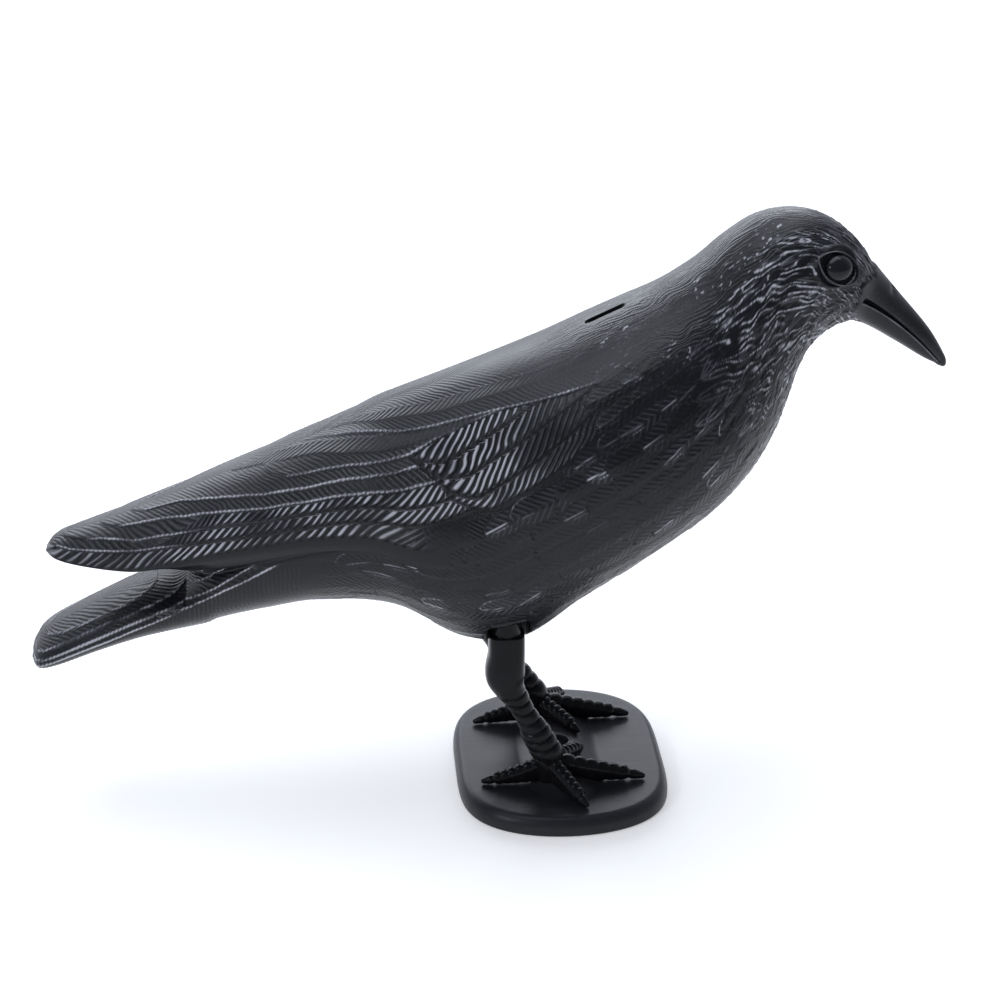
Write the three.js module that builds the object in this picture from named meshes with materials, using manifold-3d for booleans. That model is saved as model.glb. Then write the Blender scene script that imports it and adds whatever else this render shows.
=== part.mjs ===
// Garden crow ornament: a moulded black plastic crow standing on a broad base plate.
// Millimetres. +X points to the beak, +Y to the bird's left and +Z up.
// The origin is on the floor, under the middle of the object's length.

import * as THREE from 'three';
import { mergeVertices } from 'three/addons/utils/BufferGeometryUtils.js';
import Module from 'manifold-3d';

const manifold = await Module();
manifold.setup();

// Driving dimensions of the bird's skin. A rib is one cross-section of the bird. Its back point and belly
// point lie on the middle plane, and the outline between them swells on each side. Every rib has the same
// twelve numbers:
//   back point x and z, belly point x and z,
//   half-width at the wing's edge, and how far down the rib that is, from 0 at the back to 1 at the belly,
//   half-width in the groove under the wing, and how far down,
//   half-width at the flank, and how far down,
//   roundness of the back and of the belly, where 2 is an ellipse and more is squarer.
// A plain rib has no groove. Its groove and flank points lie on the curve from its widest place to the
// belly, at these shares of the way down.
const PLAIN_GROOVE = 0.07;
const PLAIN_FLANK = 0.14;
const plainRib = (backX, backZ, bellyX, bellyZ, width, at, backRound, bellyRound) => {
  const widthAt = (share) => width * (1 - share ** bellyRound) ** (1 / bellyRound);
  const downAt = (share) => at + (1 - at) * share;
  const groove = [widthAt(PLAIN_GROOVE), downAt(PLAIN_GROOVE)];
  const flank = [widthAt(PLAIN_FLANK), downAt(PLAIN_FLANK)];
  return [backX, backZ, bellyX, bellyZ, width, at, ...groove, ...flank, backRound, bellyRound];
};

// The trunk, from the fork between wings and tail forward to the tip of the beak.
const TRUNK = [
  [-121, 136.7, -121, 78.5, 28.5, 0.357, 0, 0.6, 25.5, 0.72, 2, 2],
  [-112, 140.4, -113, 80.5, 30.6, 0.37, 19, 0.54, 28.5, 0.68, 2, 2],
  [-104, 143.5, -107, 83, 32.6, 0.38, 27, 0.52, 31, 0.63, 2, 2],
  [-88, 150, -89, 87, 36.4, 0.406, 34, 0.49, 35.3, 0.585, 2, 2],
  [-72, 156.8, -66, 90.5, 40.6, 0.43, 39.6, 0.475, 40.2, 0.54, 2, 2],
  [-56, 163.8, -37, 87, 45, 0.447, 44.7, 0.48, 44.6, 0.53, 2, 1.9],
  plainRib(-40, 171.8, -8, 69.5, 49.5, 0.465, 2, 1.8),
  plainRib(-24.5, 177.5, 16.5, 69.5, 52.5, 0.475, 2, 1.8),
  plainRib(-8.5, 183, 40, 87, 54.5, 0.485, 2, 1.83),
  plainRib(7.5, 188.5, 60, 102, 55.5, 0.495, 2.05, 1.93),
  plainRib(23.5, 194.5, 79.5, 116.5, 55, 0.495, 2.1, 2),
  plainRib(39, 202, 94.5, 128.5, 52, 0.495, 2.1, 2),
  plainRib(54, 209, 105.5, 141, 47.5, 0.495, 2.1, 2),
  plainRib(68, 215.8, 112.4, 151.5, 42, 0.495, 2.1, 2),
  plainRib(81.5, 224.8, 116.8, 162, 37, 0.5, 2.1, 2.1),
  plainRib(93.5, 235.4, 120, 172, 33, 0.5, 2.1, 2.1),
  plainRib(106, 243.5, 122.5, 181.5, 30, 0.5, 2.1, 2.1),
  plainRib(120, 245.9, 126, 190, 27, 0.5, 2.1, 2.1),
  plainRib(133.5, 242.5, 131.5, 196, 23, 0.5, 2.1, 2.1),
  plainRib(145.5, 233, 139, 200, 18, 0.52, 2.1, 2.2),
  plainRib(153, 223, 147.5, 199.5, 12, 0.55, 2, 2.2),
  plainRib(163.5, 210.3, 162.4, 191.2, 7.5, 0.55, 1.9, 2.2),
  plainRib(177, 194, 176, 182.6, 4, 0.52, 2, 2.2),
  plainRib(185.1, 181.2, 184.4, 178.2, 1.2, 0.5, 2, 2),
];
// The folded wing tips, from the fork back. Their belly point is the underside of the wings.
const FOLDED_WINGS = [
  [-121, 136.7, -121, 101.8, 28.5, 0.596, 0, 1, 0, 1, 2, 2],
  [-130, 133.2, -130, 106.2, 26.8, 0.71, 0, 1, 0, 1, 2, 2],
  [-141.5, 128.9, -141.5, 108.5, 24.2, 0.833, 0, 1, 0, 1, 2, 2],
  [-154, 124.2, -154, 109.4, 20, 0.85, 0, 1, 0, 1, 2, 2],
  [-166, 120.7, -166, 110, 14.8, 0.82, 0, 1, 0, 1, 2, 2],
  [-173, 117.6, -173, 110.3, 9.5, 0.72, 0, 1, 0, 1, 2, 2],
  [-176.5, 114, -176.5, 111, 3, 0.5, 0, 1, 0, 1, 2, 2],
];
// The tail, from the fork back. Its back point is the top of the tail.
const TAIL = [
  [-121, 101.8, -121, 78.5, 0, 0, 0, 0, 25.5, 0.3, 2, 2],
  [-130, 99.4, -130, 76.8, 0, 0, 0, 0, 24, 0.38, 2, 2],
  [-141.5, 95.8, -141.5, 74.2, 0, 0, 0, 0, 22.5, 0.44, 2, 2],
  [-157, 88.8, -157, 69.8, 0, 0, 0, 0, 21.5, 0.5, 2, 2],
  [-174, 79.8, -174, 64, 0, 0, 0, 0, 20.5, 0.5, 2, 2],
  [-182, 74.2, -182, 62.6, 0, 0, 0, 0, 17, 0.5, 2, 2],
  [-185.1, 70, -185.1, 65, 0, 0, 0, 0, 8, 0.5, 2, 2],
];
const TRUNK_RINGS = 43;
const WING_RINGS = 9;
const TAIL_RINGS = 9;
// Steps along each stretch of a rib's outline: from the back to the wing's edge, to the groove, to the flank
// and to the belly.
const BACK_STEPS = 13;
const EDGE_STEPS = 3;
const GROOVE_STEPS = 2;
const BELLY_STEPS = 7;
// How full the wing's underside is: 1 is straight from its edge into the groove, 2 is a quarter ellipse.
const EDGE_ROUND = 1.25;

// The long feathers stand up as ridges along the folded wings and the tail.
const RIDGE = { height: 1, startX: -15, fullX: -65, tipX: -172, tipLength: 25 };
const WING_RIDGES = [3, 5, 7, 9, 11];
const TAIL_RIDGES = [1, 3, 5];

const EYE = { x: 132.4, y: 21.5, z: 227.8, radius: 5.6, rise: 0.45, turn: 0.3, tip: 0.36 };
const EYE_MESH = { columns: 10, rows: 6 };
const EYE_RIM = { rear: 8.6, front: 7.6, height: 7.3, rise: 1.1, root: 3, wire: 0.9, point: 0.4, steps: 12 };
// The line between the beak's halves. Each station of its depth is a share of its length, and how near to
// the middle it cuts.
const MOUTH = { rearX: 146.5, rearZ: 212.3, frontX: 181.2, frontZ: 181.6, height: 0.9, clear: 22 };
const MOUTH_DEPTH = [[0, 16.8], [0.19, 10.6], [0.49, 6.3], [0.86, 2.8], [1, 2.6]];
const HANGING_SLOT = { x: 47, z: 205, length: 17, width: 3.6, depth: 12, pitch: 0.48, segments: 3 };

// One leg, seen from the side. Each station is its centre x and z, and its half-size fore and aft and
// sideways.
const LEG_Y = 25;
const SOCKET = { x: 6.4, sides: 14 };
const SOCKET_MOUTH = { radius: 10, bottom: 40, top: 93 };
const SOCKET_BORE = { radius: 6.4, bottom: 80, top: 108 };
const STUB = { radius: 5.9, top: 107.4 };
const SHANK = [
  [6.4, 80.4, 5.9, 5.9],
  [6.4, 78.8, 7.2, 6.6],
  [6.4, 70, 7.4, 6.8],
  [5.8, 63, 8, 7],
  [6.1, 58.5, 7.8, 6.8],
  [7.6, 54, 6.4, 5.9],
  [9.6, 50.4, 5.3, 5.1],
];
// The lower leg swells at each of its rings and is slimmest above its middle.
const TARSUS_TOP = [9.6, 50.4, 5.3, 5.1];
const TARSUS_FOOT = [23.6, 22, 6.3, 5.8];
const TARSUS = { waist: 0.8, waistSpan: 0.625, rings: 5, ringRise: 0.45 };
const FOOT_BOTTOM = [25, 9, 6.6, 6.2];
// The left leg leans further back between its heel and its foot than the right one.
const LEAN = { left: -4, right: 0, from: 66, to: 16 };
// Each toe runs from the ball of the foot over a knuckle to its claw. Places are for the bird's left foot.
const TOE_ROOT = [24, 25, 19];
const TOES = [
  { knuckle: [9.5, 25, 12.8], claw: [-3.9, 24.2, 9.2], halfWidth: 3 },
  { knuckle: [31.4, 36.2, 14], claw: [38, 46.8, 9.2], halfWidth: 3.4 },
  { knuckle: [46, 25.5, 13.6], claw: [64.4, 25.6, 9.2], halfWidth: 3.4 },
  { knuckle: [33.2, 15, 16], claw: [40.3, 6, 12.8], halfWidth: 3.2 },
];
// A toe's half-width shrinks by "taper" up to where the claw starts, which then closes to a blunt point.
const TOE = { bumps: 4, bumpSwell: 0.07, taper: 0.25, clawFrom: 0.8, blunt: 0.02, wall: 7 };
const TOE_SIDES = 6;
const SHANK_SIDES = 10;

// The base plate: its plan is a rectangle with bowed ends, from |x|^2 + |y|^4 = 1.
const BASE = { centreX: 31, halfX: 44.2, halfY: 55.2, powerX: 2, powerY: 4, thickness: 7.8, steps: 34 };
const RIM = { foot: 1, footRise: 0.9, shoulderFrom: 2.6, shoulder: 7.4, steps: 4 };
const HUMP = { centreX: 31, halfWidth: 18, halfLength: 40, straight: 20, height: 5.2, flatness: 1.35 };
const BASE_BANDS = 7;
const BASE_HOLE = { x: 31, radius: 4, sides: 16, bottom: -5, top: 20 };
// The gap between the feet and the base plate, and the block below it that trims the feet.
const GAP = 0.3;
const FLOOR_BLOCK = { width: 400, depth: 20 };
const MERGE_DISTANCE = 1e-4;

const BLACK = 0x17181b;
const ROUGHNESS = { body: 0.45, leg: 0.35, base: 0.4 };
const FINE_STEPS = 24;

const plastic = (roughness) => new THREE.MeshStandardMaterial({ color: BLACK, roughness, metalness: 0 });
const smoothStep = (from, to, value) => THREE.MathUtils.smoothstep((value - from) / (to - from), 0, 1);

// A smooth curve through rows of numbers, read at a place counted in rows.
function rowAt(rows, place) {
  const index = Math.min(Math.floor(place), rows.length - 2);
  const t = place - index;
  const before = rows[Math.max(index - 1, 0)];
  const after = rows[Math.min(index + 2, rows.length - 1)];
  return rows[index].map((value, column) => {
    const next = rows[index + 1][column];
    const startSlope = (next - before[column]) / 2;
    const endSlope = (after[column] - value) / 2;
    const cubic = 2 * value - 2 * next + startSlope + endSlope;
    const square = -3 * value + 3 * next - 2 * startSlope - endSlope;
    return ((cubic * t + square) * t + startSlope) * t + value;
  });
}

const lengthOf = (chain) => chain.slice(1).reduce((sum, point, k) => sum + point.distanceTo(chain[k]), 0);

// Points at even steps along a chain of points, from its start up to, but without, its end.
function evenly(chain, steps) {
  const total = lengthOf(chain);
  const points = [];
  let index = 1;
  let passed = 0;
  for (let k = 0; k < steps; k++) {
    const target = (total * k) / steps;
    let step = chain[index].distanceTo(chain[index - 1]);
    while (passed + step < target) {
      passed += step;
      index++;
      step = chain[index].distanceTo(chain[index - 1]);
    }
    points.push(step > 0 ? chain[index - 1].clone().lerp(chain[index], (target - passed) / step) : chain[0]);
  }
  return points;
}

// The four stretches of a rib's outline on the bird's left, from the back to the belly.
function ribOutline(rib) {
  const [backX, backZ, bellyX, bellyZ, ...swell] = rib;
  const [wing, wingAt, groove, grooveAt, flank, flankAt, backRound, bellyRound] = swell;
  const place = (y, down) =>
    new THREE.Vector3(backX + (bellyX - backX) * down, y, backZ + (bellyZ - backZ) * down);
  const backToWing = [];
  const wingToGroove = [];
  const grooveToFlank = [];
  const flankToBelly = [];
  for (let k = 0; k <= FINE_STEPS; k++) {
    const turn = ((k / FINE_STEPS) * Math.PI) / 2;
    const rise = Math.sin(turn);
    const fall = k === FINE_STEPS ? 0 : Math.cos(turn);
    const inward = 1 - fall ** (2 / EDGE_ROUND);
    const under = rise ** (2 / EDGE_ROUND);
    backToWing.push(place(wing * rise ** (2 / backRound), wingAt * (1 - fall ** (2 / backRound))));
    wingToGroove.push(place(wing + (groove - wing) * inward, wingAt + (grooveAt - wingAt) * under));
    const [outward, down] = flank > groove ? [rise, 1 - fall] : [1 - fall, rise];
    grooveToFlank.push(place(groove + (flank - groove) * outward, grooveAt + (flankAt - grooveAt) * down));
    const drop = rise ** (2 / bellyRound);
    flankToBelly.push(place(flank * fall ** (2 / bellyRound), flankAt + (1 - flankAt) * drop));
  }
  return {
    backToWing,
    wingToGroove,
    grooveToFlank,
    flankToBelly,
    across: new THREE.Vector3(bellyZ - backZ, 0, backX - bellyX).normalize(),
  };
}

// Lifts the points of a half-outline that lie on a feather ridge. It lifts them square to the skin, and more
// the lower they lie.
function raiseRidges(points, ridges, across, height) {
  return points.map((point, k) => {
    if (!ridges.includes(k)) {
      return point;
    }
    const along = points[k + 1].clone().sub(points[k - 1]);
    const outward = along.cross(across).normalize();
    return point.clone().addScaledVector(outward, (height * k) / ridges[ridges.length - 1]);
  });
}

// The ridges rise behind the shoulder and fade out again at the wing tips.
function ridgeHeight(x) {
  const rise = smoothStep(RIDGE.startX, RIDGE.fullX, x);
  const fade = smoothStep(RIDGE.tipX, RIDGE.tipX + RIDGE.tipLength, x);
  return RIDGE.height * rise * fade;
}

// The half-outline from the back to the groove.
function upperPoints(rib) {
  const { backToWing, wingToGroove, across } = ribOutline(rib);
  const end = wingToGroove[wingToGroove.length - 1];
  const points = [...evenly(backToWing, BACK_STEPS), ...evenly(wingToGroove, EDGE_STEPS), end];
  return raiseRidges(points, WING_RIDGES, across, ridgeHeight(rib[0]));
}

// The half-outline from the groove to the belly.
function lowerPoints(rib) {
  const { grooveToFlank, flankToBelly, across } = ribOutline(rib);
  const end = flankToBelly[flankToBelly.length - 1];
  const points = [...evenly(grooveToFlank, GROOVE_STEPS), ...evenly(flankToBelly, BELLY_STEPS), end];
  return raiseRidges(points, TAIL_RIDGES, across, ridgeHeight(rib[0]));
}

const mirrored = (points) => points.map((point) => new THREE.Vector3(point.x, -point.y, point.z));

// A closed ring from a half-outline whose first and last points lie on the middle plane.
const closedRing = (half) => [...half, ...mirrored(half.slice(1, -1)).reverse()];

// Collects triangles, and turns them into one merged geometry.
class Skin {
  constructor() {
    this.corners = [];
  }

  quad(a, b, c, d) {
    this.corners.push(a, b, c, a, c, d);
  }

  // Joins two rings of the same number of points.
  band(ring, next) {
    for (let k = 0; k < ring.length; k++) {
      const after = (k + 1) % ring.length;
      this.quad(ring[k], next[k], next[after], ring[after]);
    }
  }

  // Closes a ring with a fan to its middle. The fan faces the way that the bands run, or back.
  cap(ring, isEnd) {
    const middle = ring.reduce((sum, point) => sum.add(point), new THREE.Vector3()).divideScalar(ring.length);
    for (let k = 0; k < ring.length; k++) {
      const after = (k + 1) % ring.length;
      this.corners.push(middle, ...(isEnd ? [ring[after], ring[k]] : [ring[k], ring[after]]));
    }
  }

  geometry() {
    const raw = new THREE.BufferGeometry().setFromPoints(this.corners);
    return mergeVertices(raw, MERGE_DISTANCE);
  }
}

// A closed body through rings that run anticlockwise, seen from the end that they run towards.
function closedLoft(rings) {
  const skin = new Skin();
  skin.cap(rings[0], true);
  for (let k = 1; k < rings.length; k++) {
    skin.band(rings[k], rings[k - 1]);
  }
  skin.cap(rings[rings.length - 1], false);
  return skin.geometry();
}

function toSolid(geometry) {
  const bare = geometry.clone();
  bare.deleteAttribute('normal');
  bare.deleteAttribute('uv');
  const merged = mergeVertices(bare, MERGE_DISTANCE);
  return new manifold.Manifold(new manifold.Mesh({
    numProp: 3,
    vertProperties: new Float32Array(merged.attributes.position.array),
    triVerts: new Uint32Array(merged.index.array),
  }));
}

function toMesh(name, solid, roughness) {
  const shape = solid.getMesh();
  const geometry = new THREE.BufferGeometry();
  geometry.setAttribute('position', new THREE.BufferAttribute(new Float32Array(shape.vertProperties), 3));
  geometry.setIndex(new THREE.BufferAttribute(new Uint32Array(shape.triVerts), 1));
  geometry.computeVertexNormals();
  const mesh = new THREE.Mesh(geometry, plastic(roughness));
  mesh.name = name;
  return mesh;
}

const rowsEvenly = (rows, count) =>
  Array.from({ length: count }, (_, k) => rowAt(rows, (k / (count - 1)) * (rows.length - 1)));

// The whole skin is one surface. Behind the fork ring its upper half runs on as the wings and its lower half
// as the tail, and the two meet in one point on the middle plane.
function birdSkin() {
  const skin = new Skin();
  const trunk = rowsEvenly(TRUNK, TRUNK_RINGS);
  const trunkRings = trunk.map((rib) => closedRing([...upperPoints(rib), ...lowerPoints(rib).slice(1)]));
  for (let k = 1; k < trunkRings.length; k++) {
    skin.band(trunkRings[k - 1], trunkRings[k]);
  }
  skin.cap(trunkRings[TRUNK_RINGS - 1], true);

  const wings = rowsEvenly(FOLDED_WINGS, WING_RINGS).map((rib) => closedRing(upperPoints(rib)));
  wings[0] = closedRing(upperPoints(trunk[0]));
  const tail = rowsEvenly(TAIL, TAIL_RINGS).map((rib) => closedRing(lowerPoints(rib)));
  tail[0] = closedRing(lowerPoints(trunk[0]));
  for (const lobe of [wings, tail]) {
    for (let k = 1; k < lobe.length; k++) {
      skin.band(lobe[k], lobe[k - 1]);
    }
    skin.cap(lobe[lobe.length - 1], false);
  }
  return skin.geometry();
}

// A rod of oval sections square to its path. Each station has its centre, its half-width across the path,
// and its half-heights on the upper and the lower side. The reference direction is the one that "across" is
// square to.
function rod(stations, reference, sides) {
  const rings = stations.map((station, k) => {
    const before = stations[Math.max(k - 1, 0)].at;
    const after = stations[Math.min(k + 1, stations.length - 1)].at;
    const along = after.clone().sub(before).normalize();
    const across = reference.clone().cross(along).normalize();
    const up = along.clone().cross(across);
    return Array.from({ length: sides }, (_, n) => {
      const angle = (2 * Math.PI * n) / sides;
      const height = Math.sin(angle) > 0 ? station.high : station.low;
      return station.at.clone()
        .addScaledVector(across, station.wide * Math.cos(angle))
        .addScaledVector(up, height * Math.sin(angle));
    });
  });
  return toSolid(closedLoft(rings));
}

// An upright cylinder on a place in the plan.
function cylinder({ radius, bottom, top }, x, y, sides) {
  const geometry = new THREE.CylinderGeometry(radius, radius, top - bottom, sides);
  geometry.rotateX(Math.PI / 2);
  geometry.translate(x, y, (top + bottom) / 2);
  return toSolid(geometry);
}

// The eye on one side: a low dome inside an almond rim. side is 1 on the bird's left and -1 on its right.
function eye(side) {
  const place = new THREE.Matrix4().makeTranslation(EYE.x, side * EYE.y, EYE.z);
  const facing = new THREE.Euler(side * EYE.tip, 0, -side * EYE.turn, 'ZXY');
  place.multiply(new THREE.Matrix4().makeRotationFromEuler(facing));

  const dome = new THREE.SphereGeometry(EYE.radius, EYE_MESH.columns, EYE_MESH.rows);
  dome.scale(1, EYE.rise, 1);
  dome.applyMatrix4(place);

  const skin = new Skin();
  const loop = Array.from({ length: EYE_RIM.steps }, (_, k) => {
    const angle = (2 * Math.PI * k) / EYE_RIM.steps;
    const forward = Math.cos(angle);
    const reach = forward > 0 ? EYE_RIM.front : EYE_RIM.rear;
    const narrowing = forward > 0 ? 1 : Math.abs(Math.sin(angle)) ** EYE_RIM.point;
    const across = EYE_RIM.height * Math.sin(angle) * narrowing;
    const centre = new THREE.Vector3(reach * forward, 0, across);
    const outward = new THREE.Vector3(forward, 0, Math.sin(angle));
    const section = [[EYE_RIM.wire, 0], [0, EYE_RIM.rise], [-EYE_RIM.wire, 0], [0, -EYE_RIM.root]];
    return section.map(([out, rise]) => centre.clone()
      .addScaledVector(outward, out)
      .add(new THREE.Vector3(0, side * rise, 0))
      .applyMatrix4(place));
  });
  for (let k = 0; k < EYE_RIM.steps; k++) {
    const next = loop[(k + 1) % EYE_RIM.steps];
    skin.band(side > 0 ? next : loop[k], side > 0 ? loop[k] : next);
  }
  return toSolid(dome).add(toSolid(skin.geometry()));
}

// The cut between the beak's two halves on one side. It follows the beak's taper and leaves the middle whole.
function mouthCut(side) {
  const length = Math.hypot(MOUTH.frontX - MOUTH.rearX, MOUTH.frontZ - MOUTH.rearZ);
  const outline = new THREE.Shape([
    ...MOUTH_DEPTH.map(([share, y]) => new THREE.Vector2(share * length, y)),
    new THREE.Vector2(length, MOUTH.clear),
    new THREE.Vector2(0, MOUTH.clear),
  ]);
  const cut = new THREE.ExtrudeGeometry(outline, { depth: MOUTH.height, bevelEnabled: false });
  cut.translate(0, 0, -MOUTH.height / 2);
  if (side < 0) {
    cut.rotateX(Math.PI);
  }
  cut.rotateY(Math.atan2(MOUTH.rearZ - MOUTH.frontZ, MOUTH.frontX - MOUTH.rearX));
  cut.translate(MOUTH.rearX, 0, MOUTH.rearZ);
  return toSolid(cut);
}

// A slot with round ends in the middle of the back.
function hangingSlot() {
  const radius = HANGING_SLOT.width / 2;
  const reach = HANGING_SLOT.length / 2 - radius;
  const outline = new THREE.Shape();
  outline.absarc(reach, 0, radius, -Math.PI / 2, Math.PI / 2);
  outline.absarc(-reach, 0, radius, Math.PI / 2, (3 * Math.PI) / 2);
  const cut = new THREE.ExtrudeGeometry(outline, {
    depth: 2 * HANGING_SLOT.depth,
    bevelEnabled: false,
    curveSegments: HANGING_SLOT.segments,
  });
  cut.translate(0, 0, -HANGING_SLOT.depth);
  cut.rotateY(-HANGING_SLOT.pitch);
  cut.translate(HANGING_SLOT.x, 0, HANGING_SLOT.z);
  return toSolid(cut);
}

function crowBody() {
  let body = toSolid(birdSkin());
  for (const side of [-1, 1]) {
    const y = side * LEG_Y;
    const mouth = cylinder(SOCKET_MOUTH, SOCKET.x, y, SOCKET.sides);
    const bore = cylinder(SOCKET_BORE, SOCKET.x, y, SOCKET.sides);
    body = body.add(eye(side)).subtract(mouth).subtract(bore).subtract(mouthCut(side));
  }
  return body.subtract(hangingSlot());
}

const humpRise = (x, y) => {
  const across = (x - HUMP.centreX) / HUMP.halfWidth;
  const beyond = Math.max(Math.abs(y) - HUMP.straight, 0) / (HUMP.halfLength - HUMP.straight);
  const reach = Math.min(Math.hypot(across, beyond), 1);
  return (HUMP.height / 2) * (1 + Math.cos(Math.PI * reach ** HUMP.flatness));
};

// The outline of the base plate, drawn in by a distance all round.
function baseRing(inset, height) {
  return Array.from({ length: BASE.steps }, (_, k) => {
    const angle = (2 * Math.PI * (k + 0.5)) / BASE.steps;
    const x = Math.sign(Math.cos(angle)) * Math.abs(Math.cos(angle)) ** (2 / BASE.powerX);
    const y = Math.sign(Math.sin(angle)) * Math.abs(Math.sin(angle)) ** (2 / BASE.powerY);
    return new THREE.Vector3(BASE.centreX + (BASE.halfX - inset) * x, (BASE.halfY - inset) * y, height);
  });
}

function basePlate() {
  const rings = [baseRing(RIM.foot, 0), baseRing(0, RIM.footRise)];
  for (let k = 0; k <= RIM.steps; k++) {
    const turn = ((k / RIM.steps) * Math.PI) / 2;
    const height = RIM.shoulderFrom + (BASE.thickness - RIM.shoulderFrom) * Math.sin(turn);
    rings.push(baseRing(RIM.shoulder * (1 - Math.cos(turn)), height));
  }
  const edge = rings[rings.length - 1];
  for (let band = 1; band < BASE_BANDS; band++) {
    const share = 1 - band / BASE_BANDS;
    rings.push(edge.map((point) => {
      const x = BASE.centreX + (point.x - BASE.centreX) * share;
      const y = point.y * share;
      return new THREE.Vector3(x, y, BASE.thickness + humpRise(x, y));
    }));
  }
  return toSolid(closedLoft(rings)).subtract(cylinder(BASE_HOLE, BASE_HOLE.x, 0, BASE_HOLE.sides));
}

// The scaly lower leg: rings of scutes that swell and pinch on the way down to the foot.
function tarsusStations(side) {
  const stations = [];
  const steps = TARSUS.rings * 2;
  for (let k = 1; k <= steps; k++) {
    const share = k / steps;
    const [x, z, deep, wide] = TARSUS_TOP.map((value, n) => value + (TARSUS_FOOT[n] - value) * share);
    const slim = 1 - (1 - TARSUS.waist) * Math.sin(Math.PI * Math.min(share / TARSUS.waistSpan, 1));
    const swell = k % 2 ? TARSUS.ringRise : 0;
    stations.push(legStation([x, z, deep * slim + swell, wide * slim + swell], side));
  }
  return stations;
}

function legStation([x, z, deep, wide], side) {
  const share = THREE.MathUtils.clamp((LEAN.from - z) / (LEAN.from - LEAN.to), 0, 1);
  const lean = (side > 0 ? LEAN.left : LEAN.right) * Math.sin(Math.PI * share);
  return { at: new THREE.Vector3(x + lean, side * LEG_Y, z), wide: deep, high: wide, low: wide };
}

// A toe swells at each scute, thins to its claw, and has a thin wall under it that reaches the base plate.
function toe({ knuckle, claw, halfWidth }, side) {
  const onSide = ([x, y, z]) => new THREE.Vector3(x, side * y, z);
  const path = new THREE.QuadraticBezierCurve3(onSide(TOE_ROOT), new THREE.Vector3(), onSide(claw));
  path.v1.copy(onSide(knuckle)).multiplyScalar(2).sub(path.v0.clone().add(path.v2).multiplyScalar(0.5));
  const steps = TOE.bumps * 2;
  const stations = Array.from({ length: steps + 1 }, (_, k) => {
    const share = k / steps;
    const shrink = 1 - TOE.taper * Math.min(share, TOE.clawFrom);
    const left = (1 - share + TOE.blunt) / (1 - TOE.clawFrom + TOE.blunt);
    const taper = shrink * Math.sqrt(Math.min(left, 1));
    const swell = k % 2 ? 1 + TOE.bumpSwell : 1 - TOE.bumpSwell;
    const half = halfWidth * taper * swell;
    return { at: path.getPoint(share), wide: half, high: half, low: half + TOE.wall * (1 - share) };
  });
  return rod(stations, new THREE.Vector3(0, 0, 1), TOE_SIDES);
}

function leg(side, base) {
  const reference = new THREE.Vector3(0, 1, 0);
  const shaft = rod([
    legStation([SOCKET.x, STUB.top, STUB.radius, STUB.radius], side),
    ...SHANK.map((row) => legStation(row, side)),
    ...tarsusStations(side),
    legStation(FOOT_BOTTOM, side),
  ], reference, SHANK_SIDES);
  let solid = shaft;
  for (const shape of TOES) {
    solid = solid.add(toe(shape, side));
  }
  return solid.subtract(base.translate([0, 0, GAP])).subtract(floorBlock());
}

// Everything below the top of the plate's rim, so that no toe wall hangs down through the hole or past the
// edge.
function floorBlock() {
  const block = new THREE.BoxGeometry(FLOOR_BLOCK.width, FLOOR_BLOCK.width, FLOOR_BLOCK.depth);
  block.translate(0, 0, BASE.thickness + GAP - FLOOR_BLOCK.depth / 2);
  return toSolid(block);
}

const base = basePlate();
const crow = new THREE.Group();
crow.add(toMesh('crow_body', crowBody(), ROUGHNESS.body));
crow.add(toMesh('right_leg', leg(-1, base), ROUGHNESS.leg));
crow.add(toMesh('left_leg', leg(1, base), ROUGHNESS.leg));
crow.add(toMesh('base_plate', base, ROUGHNESS.base));

export default crow;
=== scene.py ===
"""Garden crow ornament: feathered skin, scaly legs and base plate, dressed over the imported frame.

The tables below are in millimetres, as the frame's own source gives them. Meshes are made in metres.
+X points to the beak, +Y to the bird's left and +Z up.
"""

import logging
import math
from dataclasses import dataclass, field
from enum import Enum
from typing import Callable

import bpy
import numpy as np
from mathutils import Euler, Matrix, Vector


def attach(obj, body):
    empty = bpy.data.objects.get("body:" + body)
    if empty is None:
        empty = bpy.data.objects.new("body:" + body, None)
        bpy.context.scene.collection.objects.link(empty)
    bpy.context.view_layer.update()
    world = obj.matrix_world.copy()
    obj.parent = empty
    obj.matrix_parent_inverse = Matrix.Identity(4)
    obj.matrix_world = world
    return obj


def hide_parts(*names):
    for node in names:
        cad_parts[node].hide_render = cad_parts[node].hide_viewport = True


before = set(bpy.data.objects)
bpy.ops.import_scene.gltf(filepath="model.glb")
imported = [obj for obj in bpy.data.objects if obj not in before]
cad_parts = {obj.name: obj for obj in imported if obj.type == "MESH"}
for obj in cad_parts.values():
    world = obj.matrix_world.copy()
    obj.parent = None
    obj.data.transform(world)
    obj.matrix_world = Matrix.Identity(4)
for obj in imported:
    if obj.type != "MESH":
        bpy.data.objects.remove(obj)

Array = np.ndarray
Socket = bpy.types.NodeSocket
Triple = tuple[float, float, float]
Line = tuple[tuple[float, float], ...]
LOG = logging.getLogger("garden_crow")
MILLIMETRE = 0.001
ROOT_BODY = "root"
QUARTER = math.pi / 2
MIRROR = np.array([1.0, -1.0, 1.0])
NOISE_CELLS = 256


class Node(Enum):
    """The frame's solids that the pieces here stand for."""

    BODY = "crow_body"
    RIGHT_LEG = "right_leg"
    LEFT_LEG = "left_leg"
    BASE = "base_plate"


class Slot(Enum):
    """The record's material slots."""

    BODY = "body_plastic"
    LEG = "leg_plastic"
    BASE = "base_plastic"


class Side(Enum):
    """The bird's own sides."""

    RIGHT = -1
    LEFT = 1


# A rib is one cross-section of the bird: back point x and z, belly point x and z, half-width at the wing's
# edge and how far down that is, the same in the groove under the wing and at the flank, and the roundness of
# the back and of the belly.
PLAIN_GROOVE = 0.07
PLAIN_FLANK = 0.14


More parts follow.
